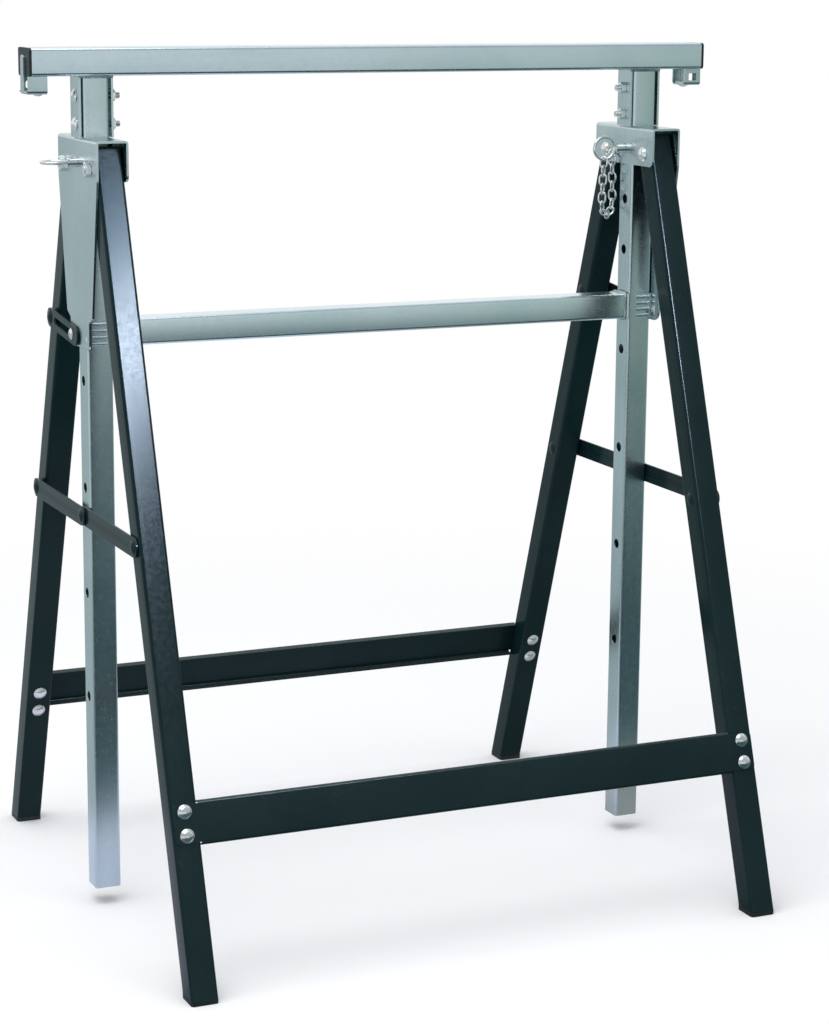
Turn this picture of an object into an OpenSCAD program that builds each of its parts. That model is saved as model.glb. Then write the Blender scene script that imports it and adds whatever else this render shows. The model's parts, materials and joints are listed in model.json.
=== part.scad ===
// Builders trestle with a beam that lifts on two posts and legs that fold.
// Units are mm. X runs along the beam, -Y is the front, +Z is up and the floor is at z = 0.

/* [Beam] */
// Length of the top beam
beam_length = 680; // [640:5:760]
// Width of the top beam, front to back
beam_width = 35; // [34:1:40]
// Height of the beam section
beam_height = 25; // [22:0.5:30]
// Height of the working surface at the lowest setting
top_height = 806; // [800:1:820]
// Wall of every steel tube
tube_wall = 1.5; // [1.2:0.1:1.8]
// Outside corner radius of every steel tube
tube_corner = 3; // [2.5:0.1:3.5]
// Thickness of the beam cap outside the tube
cap_flange = 2.4; // [2:0.1:3.2]
// Depth of the beam cap inside the tube
cap_depth = 4; // [3:0.5:6]

/* [Posts] */
// Side of the square post
post_size = 25; // [24.4:0.1:25.4]
// Distance from a beam end to the centre of its post
beam_overhang = 60; // [58:1:70]
// Gap under the posts at the lowest setting
post_gap = 17; // [12:1:30]
// Length of post below its lowest pin hole
post_foot = 187; // [180:1:200]
// Diameter of the pin holes
pin_hole = 9.6; // [9.4:0.1:10]

/* [Head brackets] */
// Thickness of the bracket sheet
sheet = 2; // [1.6:0.1:2.2]
// Space between the two cheeks of a bracket
cheek_space = 26; // [26:0.1:26.4]
// Height of the saddles between the bracket roofs and the beam
saddle_drop = 55; // [50:1:65]
// Width of the cheeks, front to back
cheek_width = 116; // [112:1:122]
// Height of the inner cheek
inner_cheek = 37; // [36:0.5:42]
// Distance from the guide to the foot of the outer cheek
nose_margin = 2; // [1:0.5:6]
// Height of the straight part of the outer cheek
cheek_straight = 36; // [32:1:44]
// Width of the outer cheek where its taper ends
waist_width = 76; // [72:1:80]
// Width of the nose at the foot of the outer cheek
nose_width = 56; // [52:1:58]
// Depth of the lock pin under the roof
pin_drop = 22; // [20:0.5:23]

/* [Legs] */
// Side of the square leg
leg_size = 25; // [24.4:0.1:25.4]
// Lean of the open legs in degrees
leg_lean = 18.5; // [17:0.5:20]
// Distance of the leg pivots from the middle
pivot_offset = 38; // [37:0.5:40]
// Depth of the leg pivots under the roof
pivot_drop = 26; // [25:0.5:26]
// Length of a leg above its pivot
leg_head = 17; // [15:0.5:18]
// Thickness of the foot under the leg
foot_flange = 4; // [3:0.5:6]
// Depth of the foot inside the leg
foot_depth = 22; // [15:1:30]

/* [Stretchers] */
// Distance of the stretchers from the floor along the leg
stretcher_up = 153; // [140:1:180]
// Height of the stretcher web
stretcher_height = 39; // [36:0.5:44]
// Depth of the stretcher lips
stretcher_lip = 12; // [8:0.5:14]
// Distance between the two bolts at one end
stretcher_bolt_pitch = 21; // [20:0.5:23]

/* [Braces and stays] */
// Distance of the brace rivets from the leg pivot along the leg
brace_reach = 340; // [320:1:360]
// Width of a brace bar
brace_width = 18; // [16:0.5:20]
// Distance of the stay rivets from the leg pivot along the leg
stay_reach = 156; // [155:0.5:157]
// Distance of the stay studs from the middle
stud_offset = 20; // [19.5:0.1:20.2]
// Length of the stay beyond its stud
stay_tail = 9; // [7:0.5:12]

/* [Crossbar and guides] */
// Side of the square crossbar
crossbar_size = 25; // [24:0.5:26]
// Distance of the middle of the crossbar above the stay studs
stud_rise = 3.5; // [2.5:0.1:4.5]

/* [Lock pins] */
// Diameter of the lock pins
pin_diameter = 9; // [8.6:0.1:9.2]
// Travel of a lock pin from drawn to home
pin_travel = 8; // [7.6:0.1:8.4]
// Radius of the pull ring to the middle of its wire
ring_radius = 11; // [10.5:0.1:11.5]
// Wire diameter of the pull ring
ring_wire = 3; // [2.6:0.1:3.2]

/* [End stops] */
// Length of a stop bracket along the beam
stop_length = 18; // [16:0.5:20]
// Width of a stop bracket, front to back
stop_width = 24; // [22:0.5:27]
// Drop of a stop bracket under the beam
stop_drop = 16; // [15:0.5:18]
// Width of the tongue that rises past the beam end
tongue_width = 9; // [8:0.5:12]
// Distance from the top of the tongue to the working surface
stop_below = 6; // [4:0.5:8]

/* [Hidden] */
$fn = 48;
overrun = 1;
fit = 0.1;
bracket_bend = 3;
post_spacing = beam_length - 2 * beam_overhang;
post_x = post_spacing / 2;
cheek_in = cheek_space / 2;
cheek_out = cheek_in + sheet;
beam_bottom = top_height - beam_height;
roof_height = beam_bottom - saddle_drop;
post_top = beam_bottom - sheet;
post_length = post_top - post_gap;
pin_height = roof_height - pin_drop;
pivot_height = roof_height - pivot_drop;
crossbar_length = post_spacing - 2 * cheek_out;
stud_height = pivot_height - sqrt(pow(stay_reach, 2) - pow(pivot_offset - stud_offset, 2));
hole_shares = [0, 0.5, 1, 2, 3, 4, 5];
pin_pitch = (pin_height - post_gap - post_foot) / max(hole_shares);
crossbar_height = stud_height + stud_rise;
outer_cheek = roof_height - crossbar_height + crossbar_size / 2 + nose_margin;
stretcher_reach = pivot_height / cos(leg_lean) - stretcher_up;
lean_tan = tan(leg_lean);
leg_length = (pivot_height - foot_flange) / cos(leg_lean) + leg_size;

// saddles
saddle_gap = 1.6;
saddle_in = post_size / 2 + saddle_gap;
saddle_lap = 0.5;
saddle_width = post_size + 2 * saddle_lap;
saddle_bolt_shares = [0.21, 0.67];
saddle_tail = 4.5;
m6 = 6;
m6_hole = 6.4;
m6_head = 13;
m6_dome = 3.4;
m6_nut = 11;
m6_nut_height = 5;
m6_tail = 2;
m8 = 8;
m8_hole = 8.2;
m8_head = 15;
m8_dome = 4.2;
m8_nut = 14.6;
m8_nut_height = 5;
m8_tail = 1.2;

// stretchers
stretcher_sheet = 1.6;
stretcher_gap = 0.6;
stretcher_bend = 2.6;
stretcher_inset = 1.8;
stretcher_corner = 3;
leg_half = leg_size / 2;

// braces, stays and their shoulder rivets
bar = 2;
layer_gap = 0.4;
front_layer = cheek_in;
rear_layer = cheek_out + layer_gap;
rivet = 8;
rivet_head = 14;
rivet_dome = 2;
rivet_play = 0.2;
inner_dome = 1.8;
brace_half = pivot_offset + brace_reach * sin(leg_lean);
brace_height = pivot_height - brace_reach * cos(leg_lean);
stay_y = pivot_offset + stay_reach * sin(leg_lean);
stay_z = pivot_height - stay_reach * cos(leg_lean);
stay_open = norm([stay_y - stud_offset, stay_z - stud_height]);
stay_shut = norm([pivot_offset - stud_offset, pivot_height - stay_reach - stud_height]);
stay_angle = atan2(stay_z - stud_height, stay_y - stud_offset);
stud = 6;
slot = 7;
slot_spare = 0.8;
stud_head = 11;
stud_dome = 2;
strap_rivet = 5;
strap_head = 9;
strap_dome = 1.5;

// guide straps
ear_reach = 24.5;
rib = 1.8;
rib_shares = [-0.36, -0.12, 0.12, 0.36];
rib_from = 5.5;
rib_to = 9.2;

// lock pins
tip_back = 0.2;
tip_cone = 1;
collar = 11;
collar_thickness = 2;
collar_back = 0.2;
collar_face = cheek_out + pin_travel + collar_back;
ring_bite = 1;
ring_x = collar_face + collar_thickness + ring_radius + ring_wire / 2 - ring_bite;

// end stops
stop_sheet = 1.6;
stop_bend = 3;
stop_gap = 0.3;
stop_out = beam_length / 2 + cap_flange;
stop_in = stop_out - stop_length;
stop_face = stop_out + stop_gap;
stop_end = stop_face + stop_sheet;
stop_floor = beam_bottom - stop_drop;
foot_side = 1.6;
foot_width = stop_width - 2 * stop_sheet - 2 * foot_side;
stop_screw_x = beam_length / 2 - cap_depth - m6;
stop_head = 10;
stop_dome = 2.2;
stop_nut_height = 2.6;
stop_tail = 0.6;
window_width = 9;
window_height = 7;
window_corner = 2;

// chain
anchor_y = 14;
anchor_drop = 28;
eye_radius = 3.5;
eye_wire = 2.2;
eye_shank = 3;
eye_neck = 0.6;
link_wire = 1.8;
link_half = 5.4;
link_wide = 3.6;
link_slack = 0.3;
link_step = link_half - (link_wire + link_slack) / 2;
chain_turns = [-4, -4, -4, -4, -4, 17, 50, 88, 126, 160, 184, 184, 184, 184, 184];
eye_x = cheek_out + eye_neck + eye_radius + eye_wire / 2;
eye_z = roof_height - anchor_drop;
hang_eye = eye_radius - (eye_wire + link_wire) / 2 - link_slack;
chain_heading = atan2(-anchor_y, eye_x - ring_x);

zinc = [0.72, 0.75, 0.78];
bright = [0.82, 0.84, 0.86];
paint = [0.1, 0.17, 0.18];
plastic = [0.06, 0.06, 0.07];

// Unit vector along v
function unit(v) = v / norm(v);

// Rectangle with rounded corners, made of squares and circles
module rounded_square(w, h, r) {
  square([w - 2 * r, h], center = true);
  square([w, h - 2 * r], center = true);
  for (x = [-1, 1], y = [-1, 1]) {
    translate([x * (w / 2 - r), y * (h / 2 - r)]) circle(r);
  }
}

// Section of a tube
module tube_section(w, h) {
  difference() {
    rounded_square(w, h, tube_corner);
    rounded_square(w - 2 * tube_wall, h - 2 * tube_wall, tube_corner - tube_wall);
  }
}

// Outline whose convex corners are rounded: cut at the tangent points, filled with circles
module rounded_outline(p, r) {
  n = len(p);
  u = [for (i = [0:n - 1]) unit(p[(i + n - 1) % n] - p[i])];
  v = [for (i = [0:n - 1]) unit(p[(i + 1) % n] - p[i])];
  half = [for (i = [0:n - 1]) acos(u[i] * v[i]) / 2];
  cut = [for (i = [0:n - 1]) r[i] / tan(half[i])];
  polygon([
    for (i = [0:n - 1])
      each (r[i] > 0 ? [p[i] + u[i] * cut[i], p[i] + v[i] * cut[i]] : [p[i]])
  ]);
  for (i = [0:n - 1]) {
    if (r[i] > 0) {
      translate(p[i] + unit(u[i] + v[i]) * r[i] / sin(half[i])) circle(r[i]);
    }
  }
}

// Extrusion along X, drawn in YZ
module along_x(length) {
  rotate([90, 0, 90]) linear_extrude(length, center = true) children();
}

// Cylinder along X from one x to another
module rod_x(d, from, to) {
  translate([min(from, to), 0, 0]) rotate([0, 90, 0]) cylinder(d = d, h = abs(to - from));
}

// Low dome that rises along Z from a flat base
module dome(d, h) {
  r = (pow(d / 2, 2) + pow(h, 2)) / (2 * h);
  rotate_extrude() {
    intersection() {
      translate([0, h - r]) circle(r);
      square([d / 2, h]);
    }
  }
}

// Dome on a face at x, pointing to the given sign of X
module dome_x(d, h, x, sign) {
  translate([x, 0, 0]) rotate([0, sign * 90, 0]) dome(d, h);
}

// Hexagon nut along Z with its base at 0
module nut(d, h, bore) {
  difference() {
    cylinder(d = d, h = h, $fn = 6);
    translate([0, 0, -overrun]) cylinder(d = bore, h = h + 2 * overrun);
  }
}

// Top beam

module beam() {
  color(zinc)
  difference() {
    translate([0, 0, top_height - beam_height / 2])
      along_x(beam_length) tube_section(beam_width, beam_height);
    for (s = [-1, 1]) {
      translate([s * stop_screw_x, 0, beam_bottom - overrun])
        cylinder(d = m6, h = tube_wall + 2 * overrun);
    }
  }
}

module beam_cap(s) {
  in_w = beam_width - 2 * tube_wall - 2 * fit;
  in_h = beam_height - 2 * tube_wall - 2 * fit;
  color(plastic)
  translate([0, 0, top_height - beam_height / 2]) {
    translate([s * (beam_length + cap_flange) / 2, 0, 0])
      along_x(cap_flange) rounded_square(beam_width, beam_height, tube_corner);
    translate([s * (beam_length - cap_depth) / 2, 0, 0])
      along_x(cap_depth) rounded_square(in_w, in_h, tube_corner - tube_wall);
  }
}

// Inverted U that joins a post to the beam
module saddle(s) {
  out = saddle_in + sheet;
  color(zinc)
  translate([s * post_x, 0, roof_height])
  difference() {
    translate([0, 0, saddle_drop / 2])
      cube([2 * out, saddle_width, saddle_drop], center = true);
    translate([0, 0, (saddle_drop - sheet - overrun) / 2])
      cube([2 * saddle_in, saddle_width + overrun, saddle_drop - sheet + overrun], center = true);
    for (k = saddle_bolt_shares) {
      translate([0, 0, k * saddle_drop]) rod_x(m6_hole, -out - overrun, out + overrun);
    }
  }
}

module post(s) {
  color(zinc)
  translate([s * post_x, 0, 0])
  difference() {
    translate([0, 0, post_gap]) linear_extrude(post_length) tube_section(post_size, post_size);
    for (k = hole_shares) {
      translate([0, 0, pin_height - k * pin_pitch])
        rod_x(pin_hole, -post_size / 2 - overrun, post_size / 2 + overrun);
    }
    for (k = saddle_bolt_shares) {
      translate([0, 0, roof_height + k * saddle_drop])
        rod_x(m6_hole, -post_size / 2 - overrun, post_size / 2 + overrun);
    }
  }
}

// Bolts with their heads on the outer side of each post
module saddle_bolts() {
  out = saddle_in + sheet;
  color(bright)
  for (s = [-1, 1], k = saddle_bolt_shares) {
    translate([s * post_x, 0, roof_height + k * saddle_drop]) mirror([s < 0 ? 1 : 0, 0, 0]) {
      rod_x(m6, -out - m6_nut_height - saddle_tail, out);
      dome_x(m6_head, m6_dome, out, 1);
    }
  }
}

module saddle_nuts() {
  out = saddle_in + sheet;
  color(bright)
  for (s = [-1, 1], k = saddle_bolt_shares) {
    translate([s * (post_x - out), 0, roof_height + k * saddle_drop])
      rotate([0, -s * 90, 0]) nut(m6_nut, m6_nut_height, m6 + 2 * fit);
  }
}

// End stops

// Screw that holds a bracket under the beam and guides its stop
module stop_screws() {
  color(bright)
  for (s = [-1, 1]) {
    translate([s * stop_screw_x, 0, stop_floor]) {
      cylinder(d = m6, h = stop_drop + tube_wall + stop_nut_height + stop_tail);
      rotate([180, 0, 0]) dome(stop_head, stop_dome);
    }
  }
}

// Nuts inside the beam
module stop_nuts() {
  color(bright)
  for (s = [-1, 1]) {
    translate([s * stop_screw_x, 0, beam_bottom + tube_wall])
      nut(m6_nut, stop_nut_height, m6 + 2 * fit);
  }
}

// Open channel under a beam end, with a window in one wall
module stop_bracket(s) {
  color(zinc)
  difference() {
    translate([s * (stop_in + stop_out) / 2, 0, beam_bottom])
      along_x(stop_length) difference() {
        rounded_square(stop_width, 2 * stop_drop, stop_bend);
        rounded_square(
          stop_width - 2 * stop_sheet, 2 * stop_drop - 2 * stop_sheet, stop_bend - stop_sheet
        );
        translate([0, stop_drop]) square([2 * stop_width, 2 * stop_drop], center = true);
      }
    translate([s * (stop_in + stop_out) / 2, -s * stop_width / 2, beam_bottom - stop_drop / 2])
      rotate([90, 0, 0]) linear_extrude(stop_width / 2, center = true)
        rounded_square(window_width, window_height, window_corner);
    translate([s * stop_screw_x, 0, stop_floor - overrun])
      cylinder(d = m6_hole, h = stop_sheet + 2 * overrun);
  }
}

// Foot plate in the channel with a tongue that can be pushed up past the beam
module end_stop(s) {
  foot_bottom = stop_floor + stop_sheet;
  foot_length = stop_end - stop_in - foot_side;
  tongue_height = top_height - stop_below - foot_bottom;
  color(zinc)
  difference() {
    union() {
      translate([s * (stop_end - foot_length / 2), 0, foot_bottom + stop_sheet / 2])
        cube([foot_length, foot_width, stop_sheet], center = true);
      translate([s * (stop_face + stop_sheet / 2), 0, foot_bottom])
        along_x(stop_sheet) {
          translate([0, (tongue_height - tongue_width / 2) / 2])
            square([tongue_width, tongue_height - tongue_width / 2], center = true);
          translate([0, tongue_height - tongue_width / 2]) circle(d = tongue_width);
        }
    }
    translate([s * stop_screw_x, 0, foot_bottom - overrun])
      cylinder(d = m6_hole, h = stop_sheet + 2 * overrun);
  }
}

// Head brackets and guides

// Folded sheet: roof, short inner cheek and long outer cheek; s is the outer side
module head_bracket(s) {
  w = cheek_width / 2;
  waist_z = roof_height - outer_cheek + (outer_cheek - cheek_straight) / 5;
  nose_z = waist_z - (waist_width - nose_width) / 4;
  low = roof_height - outer_cheek;
  nose = nose_width / 2;
  waist = waist_width / 2;
  shoulder = roof_height - cheek_straight;
  color(zinc)
  translate([s * post_x, 0, 0]) mirror([s < 0 ? 1 : 0, 0, 0])
  difference() {
    intersection() {
      rotate([90, 0, 0]) linear_extrude(cheek_width, center = true) difference() {
        translate([0, roof_height - outer_cheek / 2])
          rounded_square(2 * cheek_out, outer_cheek, bracket_bend);
        translate([0, roof_height - sheet - outer_cheek / 2])
          rounded_square(2 * cheek_in, outer_cheek, bracket_bend - sheet);
        translate([0, low]) square([2 * cheek_in, outer_cheek], center = true);
      }
      union() {
        translate([cheek_out / 2, 0, 0]) along_x(cheek_out)
          rounded_outline(
            [
              [-w, roof_height], [-w, shoulder], [-waist, waist_z], [-nose, nose_z],
              [-nose, low], [nose, low], [nose, nose_z], [waist, waist_z],
              [w, shoulder], [w, roof_height]
            ],
            [
              0, cheek_straight / 2, sheet, 0, nose / 3, nose / 3, 0, sheet, cheek_straight / 2, 0
            ]
          );
        translate([-cheek_out / 2, 0, 0]) along_x(cheek_out)
          rounded_outline(
            [
              [-w, roof_height], [-w, roof_height - inner_cheek],
              [w, roof_height - inner_cheek], [w, roof_height]
            ],
            [0, cheek_straight / 6, cheek_straight / 6, 0]
          );
      }
    }
    translate([0, 0, roof_height - sheet - overrun])
      linear_extrude(sheet + 2 * overrun) rounded_square(cheek_space, cheek_space, tube_corner);
    translate([0, 0, pin_height]) rod_x(pin_hole, -cheek_out - overrun, cheek_out + overrun);
    for (y = [-1, 1]) {
      translate([0, y * pivot_offset, pivot_height])
        rod_x(m8_hole, -cheek_out - overrun, cheek_out + overrun);
    }
    translate([0, -stud_offset, stud_height]) rod_x(strap_rivet, 0, cheek_out + overrun);
    translate([0, stud_offset, stud_height]) rod_x(stud, 0, cheek_out + overrun);
    if (s > 0) {
      translate([0, anchor_y, eye_z]) rod_x(eye_shank, -cheek_out - overrun, 0);
    }
  }
}

// U strap round the post, riveted to the outer cheek by two ears
module guide_strap(s) {
  color(zinc)
  translate([s * post_x, 0, 0]) mirror([s < 0 ? 1 : 0, 0, 0])
  difference() {
    union() {
      translate([0, 0, crossbar_height - crossbar_size / 2])
      linear_extrude(crossbar_size) difference() {
        union() {
          intersection() {
            rounded_square(2 * cheek_out, 2 * cheek_out, bracket_bend);
            translate([-cheek_out, -cheek_out]) square([cheek_out + cheek_in, 2 * cheek_out]);
          }
          translate([cheek_in - sheet, -ear_reach]) square([sheet, 2 * ear_reach]);
        }
        rounded_square(cheek_space, cheek_space, bracket_bend - sheet);
        translate([0, -cheek_in]) square([cheek_out, cheek_space]);
      }
      for (y = [-1, 1], k = rib_shares) {
        translate([0, y * cheek_out, crossbar_height + k * crossbar_size])
          rod_x(2 * rib, -rib_from, rib_to);
      }
    }
    translate([0, -stud_offset, stud_height]) rod_x(strap_rivet, 0, cheek_out + overrun);
    translate([0, stud_offset, stud_height]) rod_x(stud, 0, cheek_out + overrun);
  }
}

module crossbar() {
  color(zinc)
  translate([0, 0, crossbar_height])
    along_x(crossbar_length) tube_section(crossbar_size, crossbar_size);
}

// Flush rivets that hold the front ears
module strap_rivets() {
  color(bright)
  for (s = [-1, 1]) {
    translate([s * post_x, -stud_offset, stud_height]) mirror([s < 0 ? 1 : 0, 0, 0]) {
      rod_x(strap_rivet, cheek_in - sheet, cheek_out);
      dome_x(strap_head, strap_dome, cheek_in - sheet, -1);
    }
  }
}

// Studs that hold the rear ears and run in the slots of the stays
module stay_studs() {
  reach = rear_layer + bar + rivet_play;
  color(bright)
  for (s = [-1, 1]) {
    translate([s * post_x, stud_offset, stud_height]) mirror([s < 0 ? 1 : 0, 0, 0]) {
      rod_x(stud, cheek_in - sheet, reach);
      dome_x(strap_head, strap_dome, cheek_in - sheet, -1);
      dome_x(stud_head, stud_dome, reach, 1);
    }
  }
}

module leg_pivot_bolts() {
  color(bright)
  for (s = [-1, 1], y = [-1, 1]) {
    translate([s * post_x, y * pivot_offset, pivot_height]) mirror([s < 0 ? 1 : 0, 0, 0]) {
      rod_x(m8, -cheek_out, cheek_out + m8_nut_height + m8_tail);
      dome_x(m8_head, m8_dome, -cheek_out, -1);
    }
  }
}

module leg_pivot_nuts() {
  color(bright)
  for (s = [-1, 1], y = [-1, 1]) {
    translate([s * (post_x + cheek_out), y * pivot_offset, pivot_height])
      rotate([0, s * 90, 0]) nut(m8_nut, m8_nut_height, m8 + 2 * fit);
  }
}

// Lock pins, drawn back so that the posts are free

// Pin with a collar and a pull ring; turn rolls it about its own axis
module lock_pin(s, turn) {
  color(bright)
  translate([s * post_x, 0, pin_height]) rotate([turn, 0, 0]) {
    rod_x(pin_diameter, -collar_face - overrun, -cheek_in - tip_back - tip_cone);
    translate([-cheek_in - tip_back - tip_cone, 0, 0]) rotate([0, 90, 0])
      cylinder(d1 = pin_diameter, d2 = pin_diameter - 2 * tip_cone, h = tip_cone);
    rod_x(collar, -collar_face - collar_thickness, -collar_face);
    translate([-ring_x, 0, 0])
      rotate_extrude() translate([ring_radius, 0]) circle(d = ring_wire);
  }
}

// Eye on the inner cheek of the right bracket
module chain_anchor() {
  color(bright)
  translate([post_x, anchor_y, eye_z]) {
    rod_x(eye_shank, -cheek_out - eye_neck - eye_wire / 2, -cheek_in);
    translate([-eye_x, 0, 0]) rotate([90, 0, 0])
      rotate_extrude() translate([eye_radius, 0]) circle(d = eye_wire);
  }
}

// One link in the XZ plane, long in Z
module chain_link() {
  straight = link_half - link_wide;
  for (z = [-1, 1]) {
    translate([0, 0, z * straight]) rotate([90, 0, 0]) difference() {
      rotate_extrude() translate([link_wide, 0]) circle(d = link_wire);
      translate([0, -z * (link_wide + link_wire), 0])
        cube(2 * (link_wide + link_wire), center = true);
    }
  }
  for (x = [-1, 1]) {
    translate([x * link_wide, 0, 0]) cylinder(d = link_wire, h = 2 * straight, center = true);
  }
}

// Direction of link i in the hanging plane
function hang(i) = [sin(chain_turns[i]), -cos(chain_turns[i])];

// Centre of link i in the hanging plane
function link_at(i) =
  i == 0 ? hang(0) * link_half : link_at(i - 1) + (hang(i - 1) + hang(i)) * link_step;

// Loose chain from the anchor eye to the ring of the right pin
module retaining_chain() {
  color(bright)
  translate([post_x - eye_x, anchor_y, eye_z - hang_eye])
  rotate([0, 0, chain_heading])
  for (i = [0:len(chain_turns) - 1]) {
    translate([link_at(i)[0], 0, link_at(i)[1]])
    rotate([0, 180 - chain_turns[i], 0])
    rotate([0, 0, i % 2 == 0 ? 90 : 0])
      chain_link();
  }
}

// Leg frames; end is -1 at the front and 1 at the rear

// Places a piece in the frame of a leg, whose axis runs down from the pivot
module on_leg(x, end) {
  translate([x, end * pivot_offset, pivot_height]) rotate([end * leg_lean, 0, 0]) children();
}

// Everything under the cut ends of the legs
module under_legs() {
  reach = 2 * top_height;
  translate([0, 0, foot_flange - reach / 2]) cube(reach, center = true);
}

module leg(s, end) {
  color(paint)
  difference() {
    on_leg(s * post_x, end) difference() {
      translate([0, 0, -leg_length])
        linear_extrude(leg_length + leg_head) tube_section(leg_size, leg_size);
      rod_x(m8_hole, -leg_size, leg_size);
      translate([0, 0, -brace_reach]) rod_x(rivet, -leg_size, leg_size);
      if (end > 0) {
        translate([0, 0, -stay_reach]) rod_x(rivet, -leg_size, leg_size);
      }
      for (k = [-1, 1]) {
        translate([0, 0, -stretcher_reach + k * stretcher_bolt_pitch / 2])
          rotate([90, 0, 0]) cylinder(d = m6_hole, h = 2 * leg_size, center = true);
      }
    }
    under_legs();
  }
}

module foot(s, end) {
  inner = leg_size - 2 * tube_wall - 2 * fit;
  middle = pivot_offset + (pivot_height - foot_flange) * lean_tan;
  deep = leg_size / cos(leg_lean) + fit;
  up = (pivot_height - foot_flange) / cos(leg_lean);
  color(plastic) {
    translate([s * post_x, end * middle, 0])
      linear_extrude(foot_flange) rounded_square(leg_size + fit, deep, tube_corner);
    difference() {
      on_leg(s * post_x, end) translate([0, 0, -up - leg_size])
        linear_extrude(leg_size + foot_depth)
          rounded_square(inner, inner, tube_corner - tube_wall);
      under_legs();
    }
  }
}

// Lipped bar across the outer faces of two legs
module stretcher(end) {
  wide = post_spacing - leg_size - 2 * stretcher_gap;
  full = post_spacing + leg_size - 2 * stretcher_inset;
  color(paint)
  on_leg(0, end) translate([0, 0, -stretcher_reach]) mirror([0, end < 0 ? 1 : 0, 0])
  difference() {
    translate([0, leg_half, 0]) {
      along_x(wide) difference() {
        translate([stretcher_sheet / 2 - stretcher_lip / 2, 0])
          rounded_square(stretcher_lip + stretcher_sheet, stretcher_height, stretcher_bend);
        translate([-stretcher_lip / 2 - stretcher_bend, 0])
          rounded_square(
            stretcher_lip + 2 * stretcher_bend, stretcher_height - 2 * stretcher_sheet,
            stretcher_bend - stretcher_sheet
          );
        translate([-stretcher_lip, 0])
          square([stretcher_lip, stretcher_height], center = true);
      }
      translate([0, stretcher_sheet / 2, 0])
        rotate([90, 0, 0]) linear_extrude(stretcher_sheet, center = true)
          rounded_square(full, stretcher_height - 2 * stretcher_bend, stretcher_corner);
    }
    for (x = [-1, 1], k = [-1, 1]) {
      translate([x * post_x, leg_half, k * stretcher_bolt_pitch / 2])
        rotate([90, 0, 0]) cylinder(d = m6_hole, h = 2 * stretcher_lip, center = true);
    }
  }
}

// Places a bolt along the depth of a leg, with its head seat at 0 and its tail along +Z
module at_stretcher_bolt(end) {
  for (x = [-1, 1], k = [-1, 1]) {
    on_leg(x * post_x, end)
      translate([
        0, end < 0 ? -leg_half - stretcher_sheet : -leg_half,
        -stretcher_reach + k * stretcher_bolt_pitch / 2
      ])
        rotate([-90, 0, 0]) children();
  }
}

// Dome bolts, all with their heads to the front
module stretcher_bolts(end) {
  grip = leg_size + stretcher_sheet;
  color(bright)
  at_stretcher_bolt(end) {
    cylinder(d = m6, h = grip + m6_nut_height + m6_tail);
    rotate([180, 0, 0]) dome(m6_head, m6_dome);
  }
}

module stretcher_nuts(end) {
  color(bright)
  at_stretcher_bolt(end)
    translate([0, 0, leg_size + stretcher_sheet]) nut(m6_nut, m6_nut_height, m6 + 2 * fit);
}

// Shoulder rivets on the legs; layer is where the bar that they carry starts
module leg_rivets(end, reach, layer) {
  outer = layer + bar + rivet_play;
  color(paint)
  for (s = [-1, 1]) {
    on_leg(s * post_x, end) translate([0, 0, -reach]) mirror([s < 0 ? 1 : 0, 0, 0]) {
      rod_x(rivet, -leg_half, outer);
      dome_x(rivet_head, inner_dome, -leg_half, -1);
      rod_x(rivet_head, leg_half, layer);
      dome_x(rivet_head, rivet_dome, outer, 1);
    }
  }
}

// Half of a folding brace, flat bar with a rivet hole at each end
module brace(s, end) {
  layer = end < 0 ? front_layer : rear_layer;
  color(paint)
  translate([s * (post_x + layer + bar / 2), end * brace_half / 2, brace_height])
  difference() {
    along_x(bar) {
      square([brace_half, brace_width], center = true);
      for (y = [-1, 1]) {
        translate([y * brace_half / 2, 0]) circle(d = brace_width);
      }
    }
    translate([0, end * brace_half / 2, 0]) rod_x(rivet + 2 * fit, -bar, bar);
    translate([0, -end * brace_half / 2, 0]) rod_x(rivet + (end < 0 ? 2 * fit : 0), -bar, bar);
  }
}

// Middle rivet of a brace, held by the rear bar
module brace_pin(s) {
  color(paint)
  translate([s * post_x, 0, brace_height]) mirror([s < 0 ? 1 : 0, 0, 0]) {
    rod_x(rivet, rear_layer, rear_layer + bar);
    dome_x(rivet_head, rivet_dome, rear_layer + bar, 1);
  }
}

// Slotted bar that runs on the stud of the outer cheek
module stay(s) {
  reach = stay_open + stay_tail;
  near = stay_shut - slot_spare;
  far = stay_open + slot_spare;
  color(paint)
  translate([s * (post_x + rear_layer + bar / 2), stay_y, stay_z])
  rotate([stay_angle, 0, 0])
  difference() {
    along_x(bar) {
      translate([-reach / 2, 0]) square([reach, brace_width], center = true);
      circle(d = brace_width);
      translate([-reach, 0]) circle(d = brace_width);
    }
    rod_x(rivet + 2 * fit, -bar, bar);
    along_x(2 * bar) {
      translate([-(near + far) / 2, 0]) square([far - near, slot], center = true);
      translate([-near, 0]) circle(d = slot);
      translate([-far, 0]) circle(d = slot);
    }
  }
}

beam();
beam_cap(-1);  // left_beam_cap
beam_cap(1);  // right_beam_cap
saddle(-1);  // left_saddle
saddle(1);  // right_saddle
post(-1);  // left_post
post(1);  // right_post
saddle_bolts();
saddle_nuts();
stop_screws();
stop_nuts();
stop_bracket(-1);  // left_stop_bracket
stop_bracket(1);  // right_stop_bracket
end_stop(-1);  // left_end_stop
end_stop(1);  // right_end_stop
lock_pin(-1, 0);  // left_lock_pin
lock_pin(1, 90);  // right_lock_pin
head_bracket(-1);  // left_head_bracket
head_bracket(1);  // right_head_bracket
guide_strap(-1);  // left_guide_strap
guide_strap(1);  // right_guide_strap
crossbar();
strap_rivets();
stay_studs();
leg_pivot_bolts();
leg_pivot_nuts();
chain_anchor();
retaining_chain();
leg(-1, -1);  // front_left_leg
leg(1, -1);  // front_right_leg
stretcher(-1);  // front_stretcher
stretcher_bolts(-1);  // front_stretcher_bolts
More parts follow.
